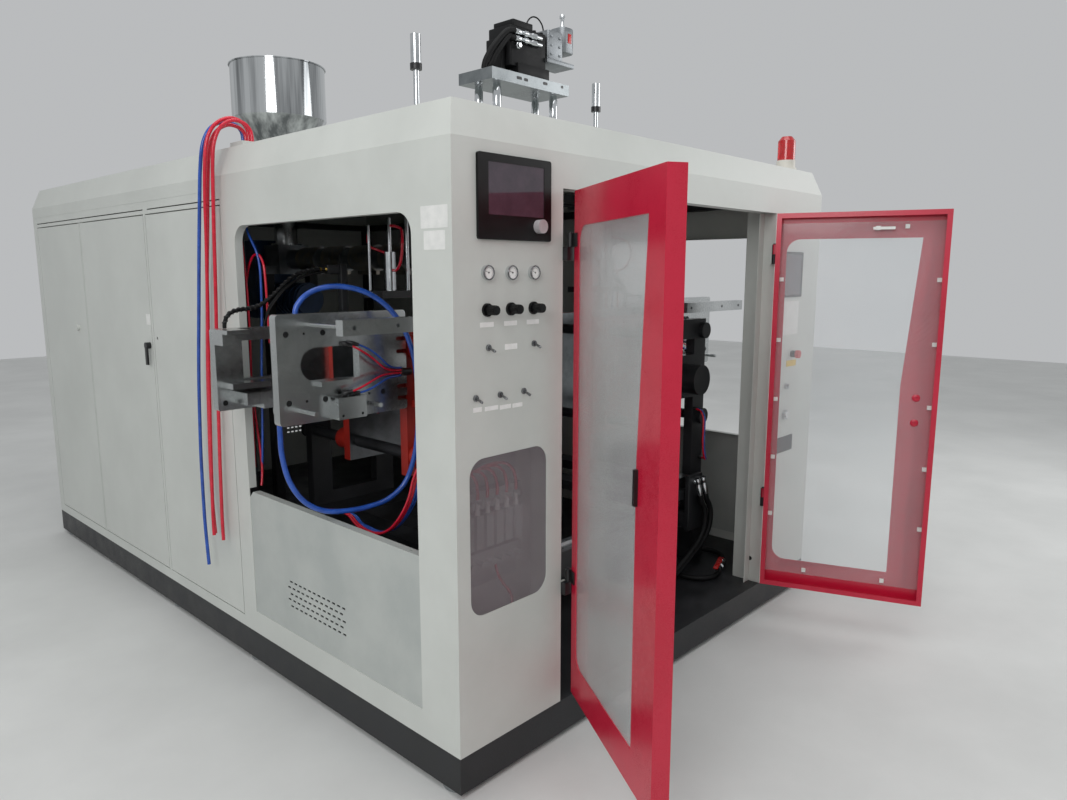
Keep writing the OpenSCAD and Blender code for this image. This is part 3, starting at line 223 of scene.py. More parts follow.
def layTubes(tubes, lay, sides=("left", "right")):
    # tubes of the stations: each one at every side named, on the root or on the side's own body
    for name, finish, diameter, body, route in tubes:
        for side in sides:
            carrier = body if body == "root" else side + "_" + body
            lay(side + "_" + name, stationSides[side](route), diameter, finish, carrier)


def hexColour(code):
    # sRGB hex to the linear values that shaders take
    parts = np.array([int(code[k:k + 2], 16) for k in (1, 3, 5)]) / 255
    linear = np.where(parts <= 0.04045, parts / 12.92, ((parts + 0.055) / 1.055) ** 2.4)
    return (*linear.tolist(), 1.0)


def perMetre(millimetres):
    # a pattern's scale from the size of one of its features
    return 1000.0 / millimetres


def addNode(tree, kind, inputs=None, **settings):
    # a node with its settings; an input is a value or another node's socket
    node = tree.nodes.new(kind)
    for key, value in settings.items():
        setattr(node, key, value)
    for key, value in (inputs or {}).items():
        if isinstance(value, bpy.types.NodeSocket):
            tree.links.new(value, node.inputs[key])
        else:
            node.inputs[key].default_value = value
    return node


# where the product of the two noises mostly lies
noiseRange = (0.12, 0.38)


def newMaterial(name, colours, patches, grain, bump, rough, stretch=(1, 1, 1), patchContrast=(0.35, 0.65),
                drift=(1, 1, 1), **shader):
    # a colour mottled over patches, and a fine grain that moves roughness and bump, both in mm
    material = bpy.data.materials.new(name)
    material.use_nodes = True
    tree = material.node_tree
    tree.nodes.clear()
    place = addNode(tree, "ShaderNodeTexCoord").outputs["Object"]
    drifted = addNode(tree, "ShaderNodeMapping", {"Vector": place, "Scale": drift})
    broad = addNode(tree, "ShaderNodeTexNoise", {"Vector": drifted.outputs["Vector"],
                    "Scale": perMetre(patches), "Detail": 5.0, "Roughness": 0.6})
    spread = addNode(tree, "ShaderNodeMapRange", {"Value": broad.outputs["Fac"],
                     "From Min": patchContrast[0], "From Max": patchContrast[1]})
    mix = addNode(tree, "ShaderNodeMix", {0: spread.outputs["Result"], 6: hexColour(colours[0]),
                  7: hexColour(colours[1])}, data_type="RGBA")
    drawn = addNode(tree, "ShaderNodeMapping", {"Vector": place, "Scale": stretch})
    fine = addNode(tree, "ShaderNodeTexNoise", {"Vector": drawn.outputs["Vector"],
                   "Scale": perMetre(grain), "Detail": 3.0, "Roughness": 0.55})
    both = addNode(tree, "ShaderNodeMath", {0: fine.outputs["Fac"], 1: broad.outputs["Fac"]},
                   operation="MULTIPLY")
    shine = addNode(tree, "ShaderNodeMapRange", {"Value": both.outputs["Value"], "From Min": noiseRange[0],
                    "From Max": noiseRange[1], "To Min": rough[0], "To Max": rough[1]})
    relief = addNode(tree, "ShaderNodeBump", {"Height": fine.outputs["Fac"], "Strength": bump,
                     "Distance": grain / 1000.0})
    inputs = {"Base Color": mix.outputs[2], "Roughness": shine.outputs["Result"],
              "Normal": relief.outputs["Normal"]}
    inputs.update({key.replace("_", " "): value for key, value in shader.items()})
    surface = addNode(tree, "ShaderNodeBsdfPrincipled", inputs)
    addNode(tree, "ShaderNodeOutputMaterial", {"Surface": surface.outputs["BSDF"]})
    return material


def newMetal(*finish, **settings):
    # a bare metal: its colour is that of its reflection
    return newMaterial(*finish, Metallic=1.0, **settings)


# polyester powder coat on sheet steel: satin, with a fine orange peel and hand marks
powderGrey = newMaterial("powder_coat_light_grey", ("#c3c6c1", "#cbcec9"), 420, 1.6, 0.05, (0.32, 0.5))
powderGuard = newMaterial("powder_coat_mid_grey", ("#a9aeab", "#b6bab6"), 260, 1.6, 0.05, (0.36, 0.5))
powderCrimson = newMaterial("powder_coat_crimson", ("#bd1233", "#c8173a"), 350, 1.8, 0.06, (0.24, 0.36),
                            Coat_Weight=0.25, Coat_Roughness=0.15)
# black enamel on welded steel: semi-gloss with dust and oil
blackEnamel = newMaterial("black_enamel_steel", ("#141517", "#26272a"), 160, 2.5, 0.12, (0.3, 0.6))
# bright zinc plating: pale grey, a little cloudy
zincSteel = newMetal("zinc_plated_steel", ("#8f9396", "#a8acae"), 30, 0.8, 0.08, (0.25, 0.45))
# extruded polycarbonate sheet: one side textured on the left door, clear on the right
frostedSheet = newMaterial("textured_polycarbonate", ("#e4e6e6", "#eff1f1"), 250, 2.2, 0.1, (0.12, 0.2),
                           Transmission_Weight=0.8, IOR=1.585, Alpha=0.72)
# the clear sheet is a thin haze over what lies behind it
clearSheet = newMaterial("clear_polycarbonate", ("#dde3e6", "#e9edef"), 400, 6.0, 0.01, (0.04, 0.1),
                         IOR=1.585, Alpha=0.2)
# moulded nylon: milky and dull
nylonWhite = newMaterial("moulded_white_nylon", ("#e2e2de", "#efefec"), 20, 0.6, 0.08, (0.35, 0.5))
# cast acrylic with a brown violet tint, polished
smokedPane = newMaterial("smoked_acrylic", ("#857b80", "#958b90"), 200, 5.0, 0.01, (0.05, 0.1),
                         IOR=1.49, Alpha=0.4)
# blasted die casting: grey and grainy
castAluminium = newMetal("die_cast_aluminium", ("#868a8d", "#9fa3a6"), 40, 0.9, 0.2, (0.35, 0.55))
# bright chrome: nearly a mirror
chromePlate = newMetal("chrome_plate", ("#c9ccce", "#dadddf"), 60, 4.0, 0.01, (0.04, 0.12))
# injection moulded ABS: satin, with the tool's fine texture
absBlack = newMaterial("moulded_black_abs", ("#131314", "#1d1d1f"), 60, 0.7, 0.12, (0.25, 0.45))
absRed = newMaterial("moulded_red_abs", ("#b3120f", "#c41a14"), 30, 0.8, 0.05, (0.2, 0.35))
absWhite = newMaterial("moulded_white_abs", ("#d9dbdb", "#e6e8e8"), 30, 0.8, 0.05, (0.2, 0.35))
# lathe-turned aluminium: bright, with fine tool marks
turnedAluminium = newMetal("turned_aluminium", ("#b9bcbe", "#d0d3d4"), 20, 0.5, 0.06, (0.2, 0.35))
# moulded lens: clear red with a deep gloss
lensRed = newMaterial("red_polycarbonate_lens", ("#c41016", "#dc1a20"), 25, 3.0, 0.1, (0.1, 0.2),
                      Transmission_Weight=0.35, IOR=1.58, Coat_Weight=0.5)
# polished stainless sheet: the dark and light streaks that run up the cone are painted reflection, standing
# in for the hall that the mirror shows
mirrorStainlessPaintedReflection = newMetal("mirror_polished_stainless", ("#717476", "#d3d6d7"), 150, 2.0, 0.015, (0.05, 0.12),
                           stretch=(0.15, 0.15, 1), patchContrast=(0.42, 0.58), drift=(1, 1, 0.04))
# machined, nitrided, oiled, ground and milled steels: from satin grey to bright
machinedSteel = newMetal("machined_steel", ("#6d7174", "#8a8e91"), 90, 0.8, 0.15, (0.28, 0.48))
nitridedSteel = newMetal("nitrided_steel", ("#55595d", "#6e7276"), 60, 0.8, 0.08, (0.22, 0.38))
platformSteel = newMetal("oiled_steel_plate", ("#7b8082", "#979c9e"), 140, 1.0, 0.08, (0.25, 0.4))
groundSteel = newMetal("ground_steel", ("#a2a6a9", "#b9bdbf"), 80, 0.5, 0.06, (0.15, 0.3))
milledSteel = newMetal("milled_bright_steel", ("#bec1c1", "#c8cbcb"), 220, 0.9, 0.05, (0.22, 0.3),
                       stretch=(1, 0.1, 1))
# hard chrome on ground rods: smoother than the steels
hardChrome = newMetal("hard_chrome", ("#c2c6c8", "#d4d7d9"), 50, 1.0, 0.02, (0.08, 0.2))
# enamel brushed on the drive: semi-gloss, a little uneven
enamelBlue = newMaterial("blue_machine_enamel", ("#2a4468", "#34527a"), 120, 2.4, 0.12, (0.3, 0.45))
# silicone paint for hot steel: dull, burnt brown in places
heatBlack = newMaterial("heat_proof_black_paint", ("#17171a", "#2a2725"), 70, 1.4, 0.2, (0.45, 0.7))
# matt anodised tube
anodisedGrey = newMaterial("anodised_aluminium", ("#858b8f", "#989ea1"), 120, 0.5, 0.05, (0.3, 0.42),
                           Metallic=0.9)
# sand-cast iron under orange red machine enamel: lumpy and semi-gloss
castingRed = newMaterial("orange_red_enamel_casting", ("#8f1f18", "#a8291e"), 130, 3.5, 0.35, (0.3, 0.5))
# extruded polyurethane: bright colour under a smooth skin
tubeRed = newMaterial("red_polyurethane_tube", ("#c0102c", "#d41836"), 60, 2.0, 0.04, (0.18, 0.3),
                      Coat_Weight=0.3)
tubeBlue = newMaterial("blue_polyurethane_tube", ("#1d4596", "#2857b4"), 60, 2.0, 0.04, (0.18, 0.3),
                       Coat_Weight=0.3)
# synthetic rubber cover: cloth-marked and dull
rubberBlack = newMaterial("black_hydraulic_hose", ("#0b0b0c", "#151516"), 40, 1.2, 0.25, (0.5, 0.7),
                          Specular_IOR_Level=0.25)
# moulded polycarbonate bezel and knobs: even black, satin
panelBlack = newMaterial("moulded_black_polycarbonate", ("#070708", "#101011"), 80, 0.7, 0.08, (0.3, 0.45),
                         Specular_IOR_Level=0.25)
# satin silver paint on a moulded knob
knobSilver = newMaterial("satin_silver_paint", ("#bcb7b9", "#c9c5c7"), 20, 0.5, 0.06, (0.35, 0.5),
                         Metallic=0.35)
# anodised dull black of valve blocks
valveBlack = newMaterial("black_anodised_valve_block", ("#09090a", "#131315"), 60, 0.9, 0.12, (0.4, 0.6),
                         Specular_IOR_Level=0.25)
# turned brass of the cable glands
brassPlate = newMetal("nickel_brass", ("#b8953f", "#c9a95a"), 12, 0.6, 0.08, (0.2, 0.35))
# liquid crystal screen under glass, dark and faintly violet
screenGlass = newMaterial("screen_glass", ("#3b343d", "#4a3d48"), 90, 4.0, 0.005, (0.06, 0.1),
                          Coat_Weight=0.6)
# stoved enamel of dials, also put on the valve labels as a brighter white that is painted light against the
# pillar's shade; printed sheet of the plates, cream ABS of the beacon's base
dialWhite = newMaterial("white_dial_enamel", ("#e9e9e6", "#f1f1ef"), 20, 0.8, 0.02, (0.3, 0.4))
plateWhite = newMaterial("white_label_plate", ("#d9dad7", "#e4e4e1"), 30, 0.8, 0.03, (0.4, 0.55))
plateYellow = newMaterial("yellow_stop_plate", ("#d8b53a", "#e4c64e"), 30, 0.8, 0.03, (0.4, 0.55))
baseWhite = newMaterial("cream_abs_base", ("#cfccc2", "#dedbd2"), 60, 1.0, 0.05, (0.35, 0.5))
# dull nickel of gauge rims and toggle valves: darker and softer than chrome
nickelDark = newMetal("dull_nickel_plate", ("#6c6d6f", "#8a8b8d"), 30, 0.8, 0.08, (0.15, 0.3))
# stainless band heaters, tinted brown by heat
bandSteel = newMetal("stainless_heater_band", ("#8d8f90", "#a79f92"), 45, 0.8, 0.1, (0.25, 0.45))
# sealed concrete painted pale: dull, nearly even
floorPaint = newMaterial("painted_floor", ("#cfd0ce", "#d9dad8"), 900, 3.0, 0.03, (0.55, 0.7))

# each finish and the CAD nodes that have it; a star stands for left and right
nodeFinish = [
    (powderGrey, ("roof_cover", "*_window_panel", "left_rear_frame", "side_cover", "right_rear_panel",
                  "rear_panel", "front_*_pillar", "front_header", "access_door_1", "access_door_2")),
    (powderGuard, ("sill_guards", "valve_manifold")), (powderCrimson, ("*_door",)),
    (blackEnamel, ("base_frame", "*_carriage")), (zincSteel, ("levelling_feet",)),
    (smokedPane, ("pillar_window",)), (frostedSheet, ("left_door_window",)),
    (clearSheet, ("right_door_window",)), (nylonWhite, ("door_clips",)), (lensRed, ("beacon",)),
    (panelBlack, ("panel_valves", "hmi_panel", "side_display", "regulator_knob_1", "regulator_knob_2",
                  "regulator_knob_3")),
    (knobSilver, ("hmi_knob",)), (chromePlate, ("pressure_gauges",)), (absRed, ("emergency_stop",)),
    (absWhite, ("start_button",)), (absBlack, ("access_handle", "servo_valve")),
    (mirrorStainlessPaintedReflection, ("hopper",)), (machinedSteel, ("extruder_barrel",)), (enamelBlue, ("gear_motor",)),
    (heatBlack, ("die_head",)), (platformSteel, ("head_platform",)), (anodisedGrey, ("blow_cylinders",)),
    (groundSteel, ("guide_rails",)), (nitridedSteel, ("extruder_screw",)),
    (castingRed, ("*_front_platen", "*_rear_platen")), (milledSteel, ("*_front_trim", "*_rear_trim")),
    (hardChrome, ("*_blow_pin",)), (tubeBlue, ("hose_blue", "loop_hose")),
    (tubeRed, ("hose_red_1", "hose_red_2", "hose_red_3"))]
for finish, nodeNames in nodeFinish:
    for side in stationSides:
        for nodeName in nodeNames:
            materials = nodes[nodeName.replace("*", side)].data.materials
            materials.clear()
            materials.append(finish)
print("materials:", len(bpy.data.materials))


# the photograph's own viewpoint, a pale floor and soft lamps
cameraFacts = {"place": (-2.7845, -3.3926, 1.705), "pitch": 9.2, "heading": 46.8, "lens": 26.54,
               "sensor": 36.0, "reach": 100.0}
camera = bpy.data.objects.new("camera", bpy.data.cameras.new("camera"))
camera.location = cameraFacts["place"]
camera.rotation_euler = (math.radians(90 - cameraFacts["pitch"]), 0, -math.radians(cameraFacts["heading"]))
camera.data.lens = cameraFacts["lens"]
camera.data.sensor_width = cameraFacts["sensor"]
camera.data.clip_end = cameraFacts["reach"]
bpy.context.scene.collection.objects.link(camera)
bpy.context.scene.camera = camera
bpy.context.scene.view_settings.view_transform = "Standard"

floorHalf = 15.0
floorMesh = bpy.data.meshes.new("floor")
floorMesh.from_pydata([(x * floorHalf, y * floorHalf, 0) for x, y in ((-1, -1), (1, -1), (1, 1), (-1, 1))],
                      [], [(0, 1, 2, 3)])
floorMesh.materials.append(floorPaint)
floor = bpy.data.objects.new("floor", floorMesh)
bpy.context.scene.collection.objects.link(floor)

world = bpy.data.worlds.new("studio")
bpy.context.scene.world = world
world.use_nodes = True
background = world.node_tree.nodes["Background"].inputs
background["Color"].default_value = hexColour("#e6e8ea")
background["Strength"].default_value = 0.62

# place, what it is aimed at, width in metres and power in watts
lamps = {"overhead": ((-1.0, -1.5, 6.4), (0, 0, 0.8), 5.5, 120.0),
         "frontLeft": ((-5.5, -3.5, 3.6), (0, 0, 1.2), 3.0, 110.0),
         "right": ((5.0, -4.0, 3.4), (0.5, 0, 1.2), 3.0, 70.0)}
for lampName, (place, target, size, power) in lamps.items():
    light = bpy.data.lights.new(lampName, "AREA")
    light.shape = "DISK"
    light.size = size
    light.energy = power
    lamp = bpy.data.objects.new(lampName, light)
    lamp.location = place
    lamp.rotation_euler = (Vector(target) - Vector(place)).to_track_quat("-Z", "Y").to_euler()
    bpy.context.scene.collection.objects.link(lamp)
print("camera, floor and lamps are set")


# polyurethane tubes that stand in the roof boss, where each has two more points straight below its
# first, and hang down the left side with bare ends
bareHoses = {
    "hose_red_1": [
        [110, 1350, 2245], [104, 1352, 2276], [80, 1356, 2300], [36, 1362, 2306], [-10, 1370, 2276],
        [-36, 1380, 2215], [-42, 1392, 2130], [-40, 1410, 2000], [-36, 1432, 1850], [-32, 1452, 1700],
        [-30, 1470, 1540], [-30, 1486, 1380], [-30, 1500, 1220], [-30, 1512, 1060], [-32, 1520, 900],
        [-34, 1524, 760], [-38, 1522, 640], [-42, 1514, 540]],
    "hose_red_2": [
        [110, 1375, 2246], [103, 1377, 2284], [76, 1380, 2312], [28, 1386, 2316], [-24, 1394, 2284],
        [-54, 1404, 2222], [-62, 1418, 2130], [-60, 1440, 2000], [-54, 1464, 1850], [-50, 1488, 1700],
        [-48, 1508, 1540], [-48, 1526, 1380], [-48, 1542, 1220], [-48, 1556, 1060], [-50, 1566, 900],
        [-54, 1568, 760], [-60, 1562, 650], [-66, 1550, 560]],
    "hose_red_3": [
        [110, 1400, 2244], [105, 1402, 2270], [82, 1406, 2290], [38, 1412, 2294], [-6, 1420, 2264],
        [-30, 1430, 2210], [-36, 1446, 2120], [-34, 1474, 1990], [-30, 1506, 1840], [-28, 1536, 1690],
        [-26, 1562, 1530], [-26, 1584, 1370], [-26, 1602, 1210], [-26, 1616, 1050], [-28, 1624, 890],
        [-30, 1624, 760], [-34, 1614, 650], [-38, 1598, 550]],
    "hose_blue": [
        [110, 1425, 2246], [104, 1427, 2280], [78, 1431, 2304], [30, 1437, 2308], [-20, 1445, 2276],
        [-48, 1456, 2214], [-56, 1474, 2120], [-54, 1504, 1990], [-50, 1540, 1840], [-46, 1574, 1690],
        [-44, 1604, 1530], [-44, 1630, 1370], [-44, 1652, 1210], [-44, 1668, 1050], [-46, 1676, 890],
        [-48, 1676, 740], [-52, 1668, 600], [-56, 1652, 480], [-60, 1636, 400]]}
hoseSize = {"bare": 15, "loop": 20}
bossHeights = (2229, 2236)
for hoseName, points in bareHoses.items():
    finish = tubeBlue if "blue" in hoseName else tubeRed
    route = [[*points[0][:2], z] for z in bossHeights] + points
    hose = addCord(hoseName + "_tube", route, hoseSize["bare"], finish, "root", farEnd="bare",
                   stiffness="medium", lay="hanging", sides=14)
    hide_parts(hoseName)

# the loop hose stands up from one fitting of the front trim plate and comes back to another
loopRoute = [[-60, 790, 1520], [-60, 790, 1532], [-60, 790, 1546], [-50, 787, 1590], [-10, 774, 1632],
             [50, 748, 1654], [120, 716, 1652], [190, 684, 1626], [255, 656, 1572], [308, 636, 1490],
             [338, 623, 1390], [348, 616, 1270], [345, 613, 1140], [327, 616, 1010], [290, 630, 905],
             [225, 652, 846], [150, 680, 824], [70, 706, 820], [-10, 734, 832], [-75, 758, 876],
             [-120, 776, 955], [-138, 787, 1050], [-140, 790, 1130], [-140, 790, 1170], [-140, 790, 1208]]
loopHose = addCord("loop_hose_tube", loopRoute, hoseSize["loop"], tubeBlue, "left_front_clamp",
                   stiffness="medium", lay="loose", sides=14)
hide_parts("loop_hose")
print("hoses are laid")


def refinish(nodeName, finish, inside):
    # another finish for a CAD node's faces where inside(u, d, z, n) holds: the face's centre in
    # corner millimetres, and how far its normal points to the back
    mesh = nodes[nodeName].data
    count = len(mesh.polygons)
    centres = np.zeros(count * 3)
    normals = np.zeros(count * 3)
    slots = np.zeros(count, dtype=np.int32)
    mesh.polygons.foreach_get("center", centres)
    mesh.polygons.foreach_get("normal", normals)
    mesh.polygons.foreach_get("material_index", slots)
    u, d, z = (centres.reshape(-1, 3) * 1000 - cornerShift).T
    chosen = inside(u, d, z, normals[1::3])
    mesh.materials.append(finish)
    slots[chosen] = len(mesh.materials) - 1
    mesh.polygons.foreach_set("material_index", slots)
    print("refinished", nodeName, int(chosen.sum()), "faces")


def between(values, low, high):
    # true where low < value < high
    return (values > low) & (values < high)


# dials, screens, bare plates and turned parts of larger nodes, picked out by where their faces lie
refinish("pressure_gauges", dialWhite, lambda u, d, z, n: between(d, -12, -10.5) & (n < -0.9))
refinish("beacon", baseWhite, lambda u, d, z, n: z < enclosure["roofTop"] + 54.5)
refinish("hmi_panel", screenGlass, lambda u, d, z, n: between(d, -9, -8) & (n < -0.9) & (z > 1800))
refinish("side_display", screenGlass, lambda u, d, z, n: between(d, -5, -4) & (n < -0.9))
refinish("side_display", plateWhite, lambda u, d, z, n: between(z, 1395, 1570))
refinish("side_display", plateYellow, lambda u, d, z, n: between(z, 1235, 1270) & (d > -2))
refinish("side_display", turnedAluminium, lambda u, d, z, n: between(z, 900, 1170))
refinish("head_platform", chromePlate, lambda u, d, z, n: between(z, 2110, 2545))
# the heater bands stand out further than the barrel's own radius
barrelFacts = {"u": enclosure["width"] / 2, "z": 1790, "radius": 70, "bands": (1180, 3030)}
refinish("extruder_barrel", bandSteel, lambda u, d, z, n: between(d, *barrelFacts["bands"])
         & (np.hypot(u - barrelFacts["u"], z - barrelFacts["z"]) > barrelFacts["radius"]))

# screw heads sunk in the trim plates: where they lie along d, and each hole's u, z and radius
trimScrews = {
    "front": (735, [(u, z, 10.8) for u in (-132, 14, 270) for z in (1250, 1492)]
              + [(u, z, 4.9) for u in (-62, 75, 140, 205) for z in (1250, 1492)]),
    "rear": (1205, [(u, z, 10.8) for u in (-140, 250) for z in (1200, 1465)])}
for side, place in stationSides.items():
    refinish(side + "_blow_pin", blackEnamel, lambda u, d, z, n: between(z, 1599, 1631))
    refinish(side + "_blow_pin", absBlack, lambda u, d, z, n: between(z, 2539, 2566))
    # the mould faces of the platens are machined
    refinish(side + "_front_platen", machinedSteel, lambda u, d, z, n: n > 0.9)
    refinish(side + "_rear_platen", machinedSteel, lambda u, d, z, n: n < -0.9)
    for trim, (faceD, holes) in trimScrews.items():
        heads = [turned([(0, 0), (0.5 * r, 0), (0.5 * r, -2), (0.96 * r, -2), (r, -1.2), (r, 27), (0, 27)],
                        place((u, faceD, z)), (0, 1, 0), 16) for u, z, r in holes]
        addPiece(side + "_" + trim + "_screws", heads, absBlack, side + "_" + trim + "_clamp",
                 sharp=30)


panelFacts = {"gauges": (135, 238, 341), "gaugeZ": 1705, "dialD": -11.0, "needle": 200, "leverDrop": 22,
              "toggles": ((140, 1476), (345, 1476), (84, 1324), (189, 1324), (296, 1324))}
front = (0, -1, 0)


def spokeAt(degrees):
    # unit vector on a dial, at an angle that runs clockwise from the right
    angle = math.radians(degrees)
    return np.array([math.cos(angle), 0, -math.sin(angle)])


# 26 short bars round each dial, one needle on a hub, and a ring with a rounded lip
marks, needles, rims = [], [], []
for u in panelFacts["gauges"]:
    centre = np.array([u, panelFacts["dialD"], panelFacts["gaugeZ"]])
    for degrees in np.linspace(-225, 45, 26):
        spoke = spokeAt(degrees)
        marks.append(plate(centre + spoke * 15.2, 0.7, 3.0, 0.25, 0.3, front, 0.08, upright=spoke))
    spoke = spokeAt(panelFacts["needle"])
    needles.append(plate(centre + spoke * 5 + (0, -0.4, 0), 1.2, 16, 0.3, 0.5, front, 0.1, upright=spoke))
    needles.append(turned([(0, -0.2), (2.6, -0.2), (2.6, 0.9), (1.6, 1.3), (0, 1.3)], centre, front, 16))
    rims.append(turned([(18.8, -0.3), (22.8, -0.3), (23.1, 1.2), (22.7, 2.8), (21.0, 3.8), (19.2, 3.2),
                        (18.8, 1.5), (18.8, -0.3)], centre, front, 40))
addPiece("gauge_marks", marks, absBlack, "root")
addPiece("gauge_needles", needles, absBlack, "root")
addPiece("gauge_rims", rims, nickelDark, "root", sharp=50)

# bare label plates under the valves: u, z, width and height
labelPlaces = [(u, 1547, 58, 15) for u in panelFacts["gauges"]] + [
    (240, 1473, 56, 18), (92, 1287, 36, 15), (152, 1285, 58, 14), (213, 1282, 50, 14), (268, 1281, 46, 14)]
# the labels take the brighter dial enamel rather than the plates' white: painted light that lifts them out of
# the pillar's shade
addPiece("valve_labels", [plate((u, 0, z), w, h, 0.5, 1.5, front, 0.15) for u, z, w, h in labelPlaces],
         dialWhite, "root", sharp=10)

# toggle valves: a round nut and a lever that hangs down a little
nuts, levers = [], []
drop = math.radians(panelFacts["leverDrop"])
for u, z in panelFacts["toggles"]:
    nuts.append(turned([(0, -1), (10.2, -1), (10.2, 5.2), (8.6, 6.8), (5.2, 6.8), (5.2, 10.5), (0, 10.5)],
                       (u, 0, z), front, 24))
    levers.append(turned([(0, 0), (2.8, 0), (3.2, 6), (4.4, 22), (4.6, 26), (3.4, 28.6), (0, 29)],
                         (u, -5, z), (0, -math.cos(drop), -math.sin(drop)), 20))
addPiece("toggle_nuts", nuts, nickelDark, "root", sharp=30)
addPiece("toggle_levers", levers, nickelDark, "root", sharp=50)
print("operator panel is dressed")


# each door: its hinge axis, how far its leaf is turned and where its outer skin ends
doorFacts = {"hingeU": 515.0, "hingeD": -10.0, "skin": 9.3, "left": 121.5, "right": 110.5}


def leafDepth(side, u, d):
    # how far a point lies inwards of the plane through the hinge axis and along the open leaf
    turn = math.radians(doorFacts[side])
    across = u if side == "left" else enclosure["width"] - u
    return (across - doorFacts["hingeU"]) * math.sin(turn) + (d - doorFacts["hingeD"]) * math.cos(turn)


# hinges and grips stand outside the skin and are black
for side in stationSides:
    refinish("front_" + side + "_pillar", blackEnamel, lambda u, d, z, n: d < -0.5)
    refinish(side + "_door", absBlack, lambda u, d, z, n: leafDepth(side, u, d) < doorFacts["skin"])
print("doors are dressed")


# push-in tubes between the trim plates and the valves: finish, diameter, body and route
stationTubes = [
    ("trim_tube_red_1", tubeRed, 8, "front_clamp",
     [[98, 716, 1447], [112, 706, 1441], [132, 697, 1430], [165, 690, 1410], [200, 688, 1385],
      [232, 690, 1360], [262, 696, 1342], [300, 702, 1332], [345, 706, 1328]]),
    ("trim_tube_blue_1", tubeBlue, 8, "front_clamp",
     [[126, 716, 1447], [142, 704, 1442], [165, 694, 1432], [195, 686, 1414], [228, 684, 1388],
      [258, 688, 1362], [290, 696, 1346], [318, 704, 1340], [345, 710, 1338]]),
    ("trim_tube_red_2", tubeRed, 8, "front_clamp",
     [[82, 700, 1268], [96, 690, 1272], [122, 682, 1280], [158, 678, 1294], [195, 680, 1308],
      [232, 688, 1318], [270, 696, 1320], [310, 702, 1320], [345, 706, 1318]]),
    ("trim_tube_blue_2", tubeBlue, 8, "front_clamp",
     [[112, 700, 1262], [128, 690, 1264], [155, 680, 1270], [190, 676, 1282], [228, 680, 1296],
      [262, 690, 1305], [295, 698, 1308], [320, 704, 1308], [345, 710, 1308]]),
    ("bracket_tube_red", tubeRed, 10, "root",
     [[78, 1236, 1420], [78, 1237, 1500], [78, 1240, 1595], [78, 1243, 1675], [78, 1252, 1738],
      [78, 1286, 1776], [78, 1340, 1768], [78, 1388, 1705], [78, 1424, 1600], [78, 1444, 1480],
      [78, 1452, 1340], [78, 1452, 1180], [80, 1444, 1020], [76, 1436, 900]])]
layTubes(stationTubes, addCord)
print("station tubes are laid")


# proportional valve on the head platform: black valve body, grey amplifier boxes on a bracket,
# chrome couplings and two pressure hoses that arch down to the plate
servoFacts = {"foot": 2600.0, "body": ((1150, 900, 2640), (1390, 1045, 2815)), "ports": (2786, 2756),
              "hose": 26, "cable": 7}
servoBlack = [blockGrid((1190, 888, servoFacts["foot"]), (1402, 1042, 2656), 5, 2),
              blockGrid(*servoFacts["body"], 8, 3),
              blockGrid((1168, 900, 2814), (1300, 1030, 2842), 6, 2),
              blockGrid((1122, 930, servoFacts["foot"]), (1152, 1035, 2760), 10, 3)]
servoBlack += [turned([(0, 0), (9, 0), (9, 7), (0, 7)], (u, d, 2815), (0, 0, 1), 6)
               for d in (912, 1018) for u in (1320, 1368)]
servoBody = addPiece("servo_valve_body", servoBlack, valveBlack, "root", sharp=30)
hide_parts("servo_valve")
servoBoxes = [blockGrid((1384, 884, 2692), (1578, 1012, 2712), 4, 1.5),
              blockGrid((1396, 892, 2711), (1502, 1002, 2842), 8, 3),
              blockGrid((1512, 900, 2764), (1602, 996, 2884), 26, 6),
              blockGrid((1500, 915, 2780), (1514, 980, 2850), 4, 1)]
servoBoxes += [turned([(0, 0), (6, 0), (6, 3.5), (4.6, 5), (0, 5)], (u, 892, z), front, 12)
               for u in (1420, 1478) for z in (2735, 2775, 2815)]
addPiece("servo_amplifier_boxes", servoBoxes, castAluminium, "root", sharp=30)
addPiece("servo_amplifier_mark", [plate((1560, 899.6, 2832), 26, 44, 0.8, 2, front, 0.2)], absRed, "root")
# each coupling: hex, barrel and swaged sleeve in one turned profile, along u
coupling = [(0, 0), (10, 0), (12, 3), (12, 40), (9, 44), (9, 58), (14, 60), (14, 82), (10, 85), (10, 108),
            (13, 112), (13, 142), (9, 146), (9, 178), (0, 178)]
couplings = [turned(coupling, (1165, 888, z), (1, 0, 0), 24) for z in servoFacts["ports"]]
couplings += [turned([(0, 0), (15, 0), (15, 18), (11, 21), (11, 30), (0, 30)], (1186, 901, 2726), front, 6),
              turned([(0, 0), (12, 0), (12, 16), (9, 20), (9, 48), (14, 50), (14, 62), (8, 70), (0, 70)],
                     (1560, 948, 2884), (0, 0, 1), 20)]
addPiece("servo_couplings", couplings, chromePlate, "root", sharp=40)
# two hoses arch down to the plate, the second one hose's width inside the first
for k, z in enumerate(servoFacts["ports"]):
    inset = k * servoFacts["hose"]
    drop = 0.8 * inset
    addCord("servo_hose_" + str(k + 1),
            [[1166, 888, z], [1146, 888, z - 1], [1120 + inset / 3, 890, 2776 - drop],
             [1092 + inset / 2, 894, 2752 - drop], [1064 + 0.7 * inset, 900, 2720 - drop],
             [1040 + 0.8 * inset, 908, 2688 - drop], [1022 + inset, 916, 2656 - drop],
             [1012 + inset, 922, 2630 - drop / 2], [1008 + inset, 926, 2603]],
            servoFacts["hose"], rubberBlack, "root", "servo_black", sides=16)
addTube("servo_cable", [[1436, 960, 2842], [1435, 960, 2858], [1424, 960, 2882], [1396, 960, 2902],
                        [1362, 960, 2902], [1332, 960, 2882], [1314, 960, 2848], [1310, 960, 2814]],
        servoFacts["cable"], rubberBlack, "root", "servo_black")
